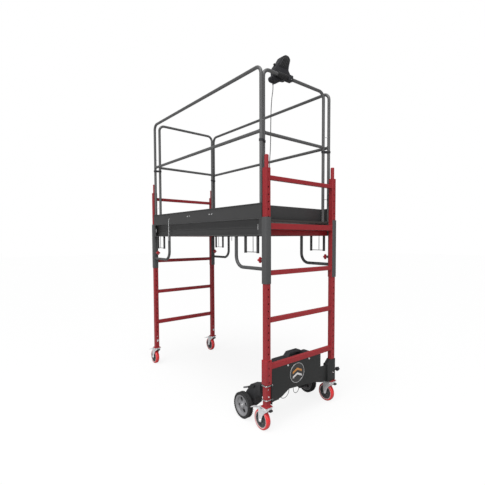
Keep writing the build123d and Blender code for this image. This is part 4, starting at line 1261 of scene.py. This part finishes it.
    def badge(self) -> None:
        """Set a plain round badge on the plate: rim, field and two chevrons."""
        x = centre.x + self.plate_front
        hub = Vector((x, centre.y + self.badge_place[0], self.badge_place[1]))
        ring = [(0.071, 0.0), (0.076, 0.0), (0.0755, 0.0016), (0.0715, 0.0016)]
        finish(Bench.lathe("badge_rim", ring, hub, Way.X, 64), Paint.STEEL, "frames", "black_plate")
        field = [(0.0, 0.0), (self.badge_r, 0.0), (self.badge_r, 0.0008), (0.0, 0.0008)]
        finish(Bench.lathe("badge_field", field, hub, Way.X, 64), Paint.NIGHT, "frames", "black_plate")
        for name, lift, paint in (("upper", 0.010, Paint.AMBER), ("lower", -0.026, Paint.WHITE)):
            y, z = hub.y, hub.z + lift
            chevron = [(y - 0.048, z - 0.010), (y - 0.048, z + 0.006), (y, z + 0.028), (y + 0.048, z + 0.006)]
            chevron += [(y + 0.048, z - 0.010), (y, z + 0.012)]
            stripe = Bench.slab(f"badge_{name}_chevron", chevron, Way.X, x + 0.0008, 0.0008, 0.0002)
            finish(stripe, paint, "frames", "black_plate")

    def fasteners(self) -> None:
        """Bend the U-bolts, and fit flanged nuts and domed plate bolts."""
        parts = []
        reach = TUBE / 2 + self.bolt_r
        inner = -HALF_WIDTH + TUBE / 2
        corner = 0.009
        for z in self.bolt_heights:
            x0, x1 = post.x - reach, post.x + reach
            back = centre.y - HALF_WIDTH - reach
            front = centre.y + inner + 0.014
            left = sweep((x0, back + corner), (x0, back), (x0 + corner, back), 6)
            right = sweep((x1 - corner, back), (x1, back), (x1, back + corner), 6)
            line = [(x0, front)] + left + right + [(x1, front)]
            parts.append(Bench.pipe("u_bolt", [Way.Z.place(z, *p) for p in line], self.bolt_r))
            for x in (x0, x1):
                rises = (0.004, 0.0055, 0.0115)
                foot, seat, top = (Vector((x, centre.y + inner + rise, z)) for rise in rises)
                parts.append(Bench.rod("flange", foot, seat, 0.0095, 24, 0.0005))
                parts.append(Bench.rod("nut", seat, top, 0.0078, 6, 0.0006))
        for y, z in self.plate_bolts:
            base = at(self.plate_front, y, z)
            dome = [(0.0, 0.0052), (0.0035, 0.0048), (0.0065, 0.0032), (0.0080, 0.0), (0.0, 0.0)]
            parts.append(Bench.lathe("bolt", dome, base, Way.X, 24))
        finish(Bench.joined("drive_bolts", parts), Paint.STEEL, "frames", "zinc", "drive_fasteners")

    def battery(self) -> None:
        """Round the battery case, and add its lid seam, latch and vents."""
        low, high = box("battery_box")
        ease(Paint.PLASTIC, "frames", "black_plastic", battery_box=0.0035)
        x0, x1 = low.x, low.x + self.box_depth
        y0, y1 = low.y, high.y
        seam = rounded((x0 - 0.0008, y0 - 0.0008), (x1 + 0.0008, y1 + 0.0008), 0.006, 4)
        parts = [Bench.pipe("seam", [Way.Z.place(self.lid_z, *p) for p in seam], 0.0022, closed=True)]
        latch = (x0 - 0.007, centre.y - 0.04, 0.404), (x0 + 0.001, centre.y + 0.01, 0.444)
        parts.append(Bench.block("latch", *latch, 0.002))
        for k in range(self.vents):
            z = 0.300 + 0.011 * k
            vent = (x0 - 0.0022, y0 + 0.05, z), (x0 + 0.001, y0 + 0.15, z + 0.005)
            parts.append(Bench.block("vent", *vent, 0.001))
        finish(Bench.joined("battery_fittings", parts), Paint.PANEL, "frames", "black_plastic")

    def knob(self) -> None:
        """Mould the five-lobed clamp knob on its stud."""
        low, high = box("clamp_knob")
        hub = Vector(((low.x + high.x) / 2, high.y - 0.028, (low.z + high.z) / 2))
        outline = lobed((hub.x, hub.z), 0.0155, 0.0022, 5, 60)
        grip = Bench.slab("grip", outline, Way.Y, hub.y, 0.026, 0.0022)
        stud = Bench.rod("stud", Vector((hub.x, low.y, hub.z)), hub, 0.005, 20, 0.0006)
        star = Bench.joined("clamp_knob_star", [grip, stud])
        finish(star, Paint.PLASTIC, "clamp_knob", "black_plastic", "clamp_knob")

    def leads(self) -> None:
        """Hang the two leads in loops below the plate."""
        x = self.plate_front - 0.006
        long_loop = [(-0.140, 0.262), (-0.144, 0.236), (-0.156, 0.214), (-0.184, 0.198)]
        long_loop += [(-0.212, 0.203), (-0.231, 0.218), (-0.238, 0.238)]
        short_loop = [(-0.098, 0.262), (-0.099, 0.240), (-0.092, 0.216), (-0.070, 0.201)]
        short_loop += [(-0.046, 0.212), (-0.038, 0.236), (-0.037, 0.262)]
        tubes = []
        for loop in (long_loop, short_loop):
            tubes.append(Bench.pipe("lead", [at(x, y, z) for y, z in loop], self.lead_r, smooth=True))
        finish(Bench.joined("drive_leads", tubes), Paint.SHEATH, "frames", "cord", "drive_cables")

    def build(self) -> None:
        """Make the whole drive unit."""
        ease(Paint.BLACK, "frames", "black_plate", drive_plate=0.0012, post_clamp=0.002)
        self.wheels()
        for name, sy in SIDES.items():
            self.gear_case(name, sy)
            self.lever(name)
        self.badge()
        self.fasteners()
        self.battery()
        self.knob()
        self.leads()


# ---- platform -----------------------------------------------------------------------------------
@dataclass
class Platform:
    """Sliding platform: sleeves with lock pins, trusses, toe boards, deck and its brackets."""

    truss_face: float = 0.378
    knob_length: float = 0.018
    pin_r: float = 0.00475
    rivet_z: float = 1.580
    rivet_x: tuple[float, ...] = (-0.165, -0.127, 0.216, 0.254)
    keeper_place: Point = (0.859, 1.461)
    keeper_half: Vector = Vector((0.005, 0.003, 0.020))
    keeper_rod: tuple[Point, ...] = ((-0.544, 1.353), (-0.544, 1.535), (-0.541, 1.560), (-0.529, 1.577))

    def rivets(self) -> None:
        """Set pairs of pop rivets along both toe boards."""
        parts = []
        dome = [(0.0, 0.0034), (0.0030, 0.0030), (0.0052, 0.0016), (0.0062, 0.0), (0.0, 0.0)]
        for sy in (-1, 1):
            for x in self.rivet_x:
                seat = at(x, sy * self.truss_face, self.rivet_z)
                parts.append(Bench.lathe("rivet", [(r, sy * w) for r, w in dome], seat, Way.Y, 20))
        finish(Bench.joined("toe_board_rivets", parts), Paint.STEEL, "platform", "zinc")

    def latches(self) -> None:
        """Fit the short keeper at each truss end and the hooked keeper rod by each knee."""
        parts = []
        x, z = self.keeper_place
        for sx in (-1, 1):
            for sy in (-1, 1):
                seat = at(sx * x, sy * (self.truss_face - 0.005), z)
                parts.append(Bench.block("keeper", seat - self.keeper_half, seat + self.keeper_half, 0.0018))
        for sy in (-1, 1):
            points = [at(x, sy * (self.truss_face + 0.0028), z) for x, z in self.keeper_rod]
            parts.append(Bench.pipe("rod", points, 0.0040))
        finish(Bench.joined("truss_keepers", parts), Paint.STEEL, "platform", "zinc")

    def edges(self) -> None:
        """Roll the outer edges of the truss flanges and the top edge of the toe boards, in the lighter rail
        grey as a painted highlight.
        """
        parts = []
        for name, sy in SIDES.items():
            low, high = box(f"truss_{name}")
            board = box(f"toe_board_{name}")[1].z
            face = sy * (self.truss_face - 0.0004)
            for z, r in ((low.z + 0.0016, 0.0018), (high.z - 0.0016, 0.0020), (board - 0.0012, 0.0018)):
                ends = [Vector((x, centre.y + face, z)) for x in (low.x + 0.002, high.x - 0.002)]
                parts.append(Bench.rod("edge", *ends, r, 12, 0.0004))
        # The lighter grey of these beads is a painted highlight along the edges.
        finish(Bench.joined("truss_edges", parts), Paint.RAIL, "platform", "dark_frame")

    def pins(self) -> None:
        """Mould each lock pin's fluted knob on its steel pin."""
        for name, (sx, _) in CORNERS.items():
            node, body = f"spring_pin_{name}", f"lock_pin_{name}"
            low, high = box(node)
            y, z = (low.y + high.y) / 2, (low.z + high.z) / 2
            outer, tip = (low.x, high.x) if sx > 0 else (high.x, low.x)
            reach = (high.z - low.z) / 2
            outline = lobed((y, z), reach * 0.84, reach * 0.16, 4, 64)
            knob = Bench.slab(f"{node}_knob", outline, Way.X, outer, sx * self.knob_length, 0.0045)
            finish(knob, Paint.KNOB, body, "red_knob", node)
            root = Vector((outer + sx * 0.014, y, z))
            rod = Bench.rod(f"{node}_rod", root, Vector((tip, y, z)), self.pin_r, 24, 0.0012)
            finish(rod, Paint.STEEL, body, "zinc")

    def build(self) -> None:
        """Coat the platform and add its fittings."""
        ease(Paint.DARK, "platform", "dark_frame", truss_left=0.0009, truss_right=0.0009)
        ease(Paint.DARK, "platform", "dark_frame", toe_boards_end=0.0008, rail_brackets=0.0016)
        coat(Paint.DARK, "toe_board_left", "toe_board_right")
        # The deck end beams take the darker red: painted shade.
        ease(Paint.SHADED_RED_BEAM, "platform", "red_beam", deck_end_beams=0.0018)
        ease(Paint.GREY, "platform", "grey_frame", platform_sleeves=0.0012)
        ease(Paint.DECK, "platform", "deck", deck=0.0010)
        coat(Paint.GREY, "knee_tubes")
        coat(Paint.BLACK, "bracket_wires")
        self.edges()
        self.rivets()
        self.latches()
        self.pins()


@dataclass
class GuardRails:
    """Guard panels with welded mid rails, corner clips and link pins."""

    tube_r: float = 0.0125
    mid_z: float = 2.129
    bead: float = 0.0018
    panels = {"left": Way.X, "right": Way.X, "drive_end": Way.Y, "far_end": Way.Y}

    def welds(self) -> None:
        """Run a bead round both ends of every mid rail."""
        beads = []
        for name, way in self.panels.items():
            low, high = box(f"guard_panel_{name}")
            along, across = (0, 1) if way is Way.X else (1, 0)
            line = (low[across] + high[across]) / 2
            ring = arc((line, self.mid_z), self.tube_r + 0.0004, 0, 345, 23)
            for end in (low[along] + 2 * self.tube_r, high[along] - 2 * self.tube_r):
                beads.append(Bench.pipe("bead", [way.place(end, *p) for p in ring], self.bead, closed=True))
        finish(Bench.joined("rail_welds", beads), Paint.RAIL, "platform", "dark_frame")

    def build(self) -> None:
        """Coat the panels and add their welds."""
        coat(Paint.RAIL, *[f"guard_panel_{name}" for name in self.panels])
        ease(Paint.PLASTIC, "platform", "black_plastic", corner_clips=0.0015)
        coat(Paint.ZINC, "rail_links")
        self.welds()


@dataclass
class Controller:
    """Hand controller on the end rail: leaning housing with a ribbed face, thumb stick and clamp."""

    outline: tuple[Point, ...] = (
        (-0.206, 2.530),
        (-0.152, 2.530),
        (-0.112, 2.562),
        (-0.066, 2.568),
        (-0.040, 2.592),
        (-0.038, 2.622),
        (-0.056, 2.642),
        (-0.050, 2.680),
        (-0.036, 2.730),
        (-0.054, 2.7500),
        (-0.086, 2.7500),
        (-0.120, 2.728),
        (-0.150, 2.680),
        (-0.184, 2.636),
        (-0.193, 2.606),
        (-0.190, 2.578),
        (-0.216, 2.562),
        (-0.218, 2.542),
    )
    pad: tuple[Point, ...] = (
        (-0.072, 2.650),
        (-0.058, 2.690),
        (-0.042, 2.732),
        (-0.080, 2.740),
        (-0.110, 2.718),
        (-0.138, 2.676),
        (-0.160, 2.646),
    )
    seam_centre: Vector = Vector((-0.115, 2.640))
    back: float = 0.786
    front: float = 0.836
    corner: float = 0.011
    soft: float = 0.0075
    ribs: int = 5
    rail: Point = (0.858, 2.573)
    button: Point = (-0.160, 2.652)

    def shell(self, name: str, outline: Sequence[Point], start: float, thick: float, soft: float) -> Piece:
        """Plate of the housing, with rounded corners and edges."""
        placed = [(centre.y + y, z) for y, z in filleted(outline, self.corner)]
        made = Bench.slab(name, placed, Way.X, centre.x + start, thick)
        return Bench.soften(made, soft, 4)

    def housing(self) -> Piece:
        """Mould the housing in two shells with a seam between them."""
        half = (self.front - self.back) / 2
        thick = half - 0.0006
        inner = self.shell("inner_shell", self.outline, self.back, thick, self.soft)
        outer = self.shell("outer_shell", self.outline, self.front - thick, thick, self.soft)
        core = [tuple(self.seam_centre.lerp(Vector(p), 0.97)) for p in self.outline]
        seam = self.shell("seam", core, self.back + half - 0.001, 0.002, 0.0002)
        return Bench.joined("controller_housing", [inner, outer, seam])

    def face(self) -> Piece:
        """Set the grip pads with their ribs, the rail sleeve and the side button."""
        parts = []
        for side, x in ((1, self.front), (-1, self.back)):
            parts.append(self.shell("pad", self.pad, x - side * 0.0005, side * 0.0022, 0.0008))
        for k in range(self.ribs):
            slide = k / (self.ribs - 1)
            rise = 0.010 * math.sin(math.pi * slide)
            foot = at(self.front + 0.0020, -0.145 + 0.062 * slide, 2.656)
            head = at(self.front + 0.0020, -0.104 + 0.050 * slide, 2.722 + rise)
            parts.append(Bench.rod("rib", foot, head, 0.0030, 12, 0.0012))
        parts.append(self.sleeve())
        nub = at((self.front + self.back) / 2, *self.button)
        parts.append(Bench.rod("button", nub, nub + Vector((0, -0.022, 0.010)), 0.0085, 24, 0.0022))
        return Bench.joined("controller_grips", parts)

    def sleeve(self) -> Piece:
        """Wrap the rail beside the clamp with the housing's split sleeve and its web."""
        rail = at(self.rail[0], 0.0, self.rail[1])
        ring = [(0.0127, -0.190), (0.0185, -0.190), (0.0200, -0.187), (0.0200, -0.095), (0.0127, -0.095)]
        tube = Bench.lathe("sleeve", ring, rail, Way.Y, 40)
        web = Bench.block("web", at(0.832, -0.184, 2.564), at(0.843, -0.096, 2.582), 0.002)
        return Bench.joined("sleeve", [tube, web])

    def gland(self) -> Piece:
        """Turn the ringed strain relief that the cord leaves by."""
        foot = box("controller_body")[0].z
        ringed = [(0.0031, 0.0), (0.0044, 0.0), (0.0050, 0.004), (0.0046, 0.005), (0.0056, 0.009)]
        ringed += [(0.0052, 0.010), (0.0063, 0.014), (0.0059, 0.015), (0.0074, 0.0225), (0.0031, 0.0225)]
        return Bench.lathe("controller_gland", ringed, at(*GLAND, foot), Way.Z, 28)

    def stick(self) -> Piece:
        """Mould the thumb stick on its barrel, on the face towards the platform."""
        low, high = box("controller_joystick")
        barrel = Vector((high.x - 0.006, (low.y + high.y) / 2, (low.z + high.z) / 2))
        half = Vector((0, 0.0088, 0))
        parts = [Bench.rod("barrel", barrel - half, barrel + half, 0.006, 24, 0.0012)]
        top = barrel.x - low.x
        head = [(0.0, -0.002), (0.0040, -0.002), (0.0042, top - 0.016), (0.0115, top - 0.013)]
        head += [(0.0128, top - 0.006), (0.0105, top - 0.0014), (0.0080, top - 0.0004)]
        head += [(0.0070, top - 0.0016), (0.0, top - 0.0022)]
        parts.append(Bench.lathe("head", [(r, -w) for r, w in head], barrel, Way.X, 32))
        return Bench.joined("controller_stick", parts)

    def build(self) -> None:
        """Make the controller."""
        finish(self.housing(), Paint.PLASTIC, "platform", "black_plastic", "controller_body")
        finish(self.face(), Paint.RUBBER, "platform", "black_plastic")
        finish(self.gland(), Paint.RUBBER, "platform", "black_plastic")
        finish(self.stick(), Paint.RUBBER, "joystick", "black_plastic", "controller_joystick")
        low, high = box("controller_clamp")
        ease(Paint.PLASTIC, "platform", "black_plastic", controller_clamp=0.0025)
        screws = []
        for z in (low.z + 0.008, high.z - 0.008):
            start = Vector((high.x - 0.001, (low.y + high.y) / 2, z))
            screws.append(Bench.rod("screw", start, start + Vector((0.004, 0, 0)), 0.0042, 6, 0.0005))
        finish(Bench.joined("controller_screws", screws), Paint.STEEL, "platform", "zinc")


def main() -> None:
    """Build every part of the scene in order."""
    logging.basicConfig(level=logging.INFO, format="%(message)s", stream=sys.stdout)
    stand = Set()
    stand.camera()
    ControlCord().build()
    stand.studio()
    for part in (EndFrames(), Caster(), DriveUnit(), Platform(), GuardRails(), Controller()):
        part.build()
        log.info("%s is dressed", type(part).__name__)


if __name__ == "__main__":
    main()
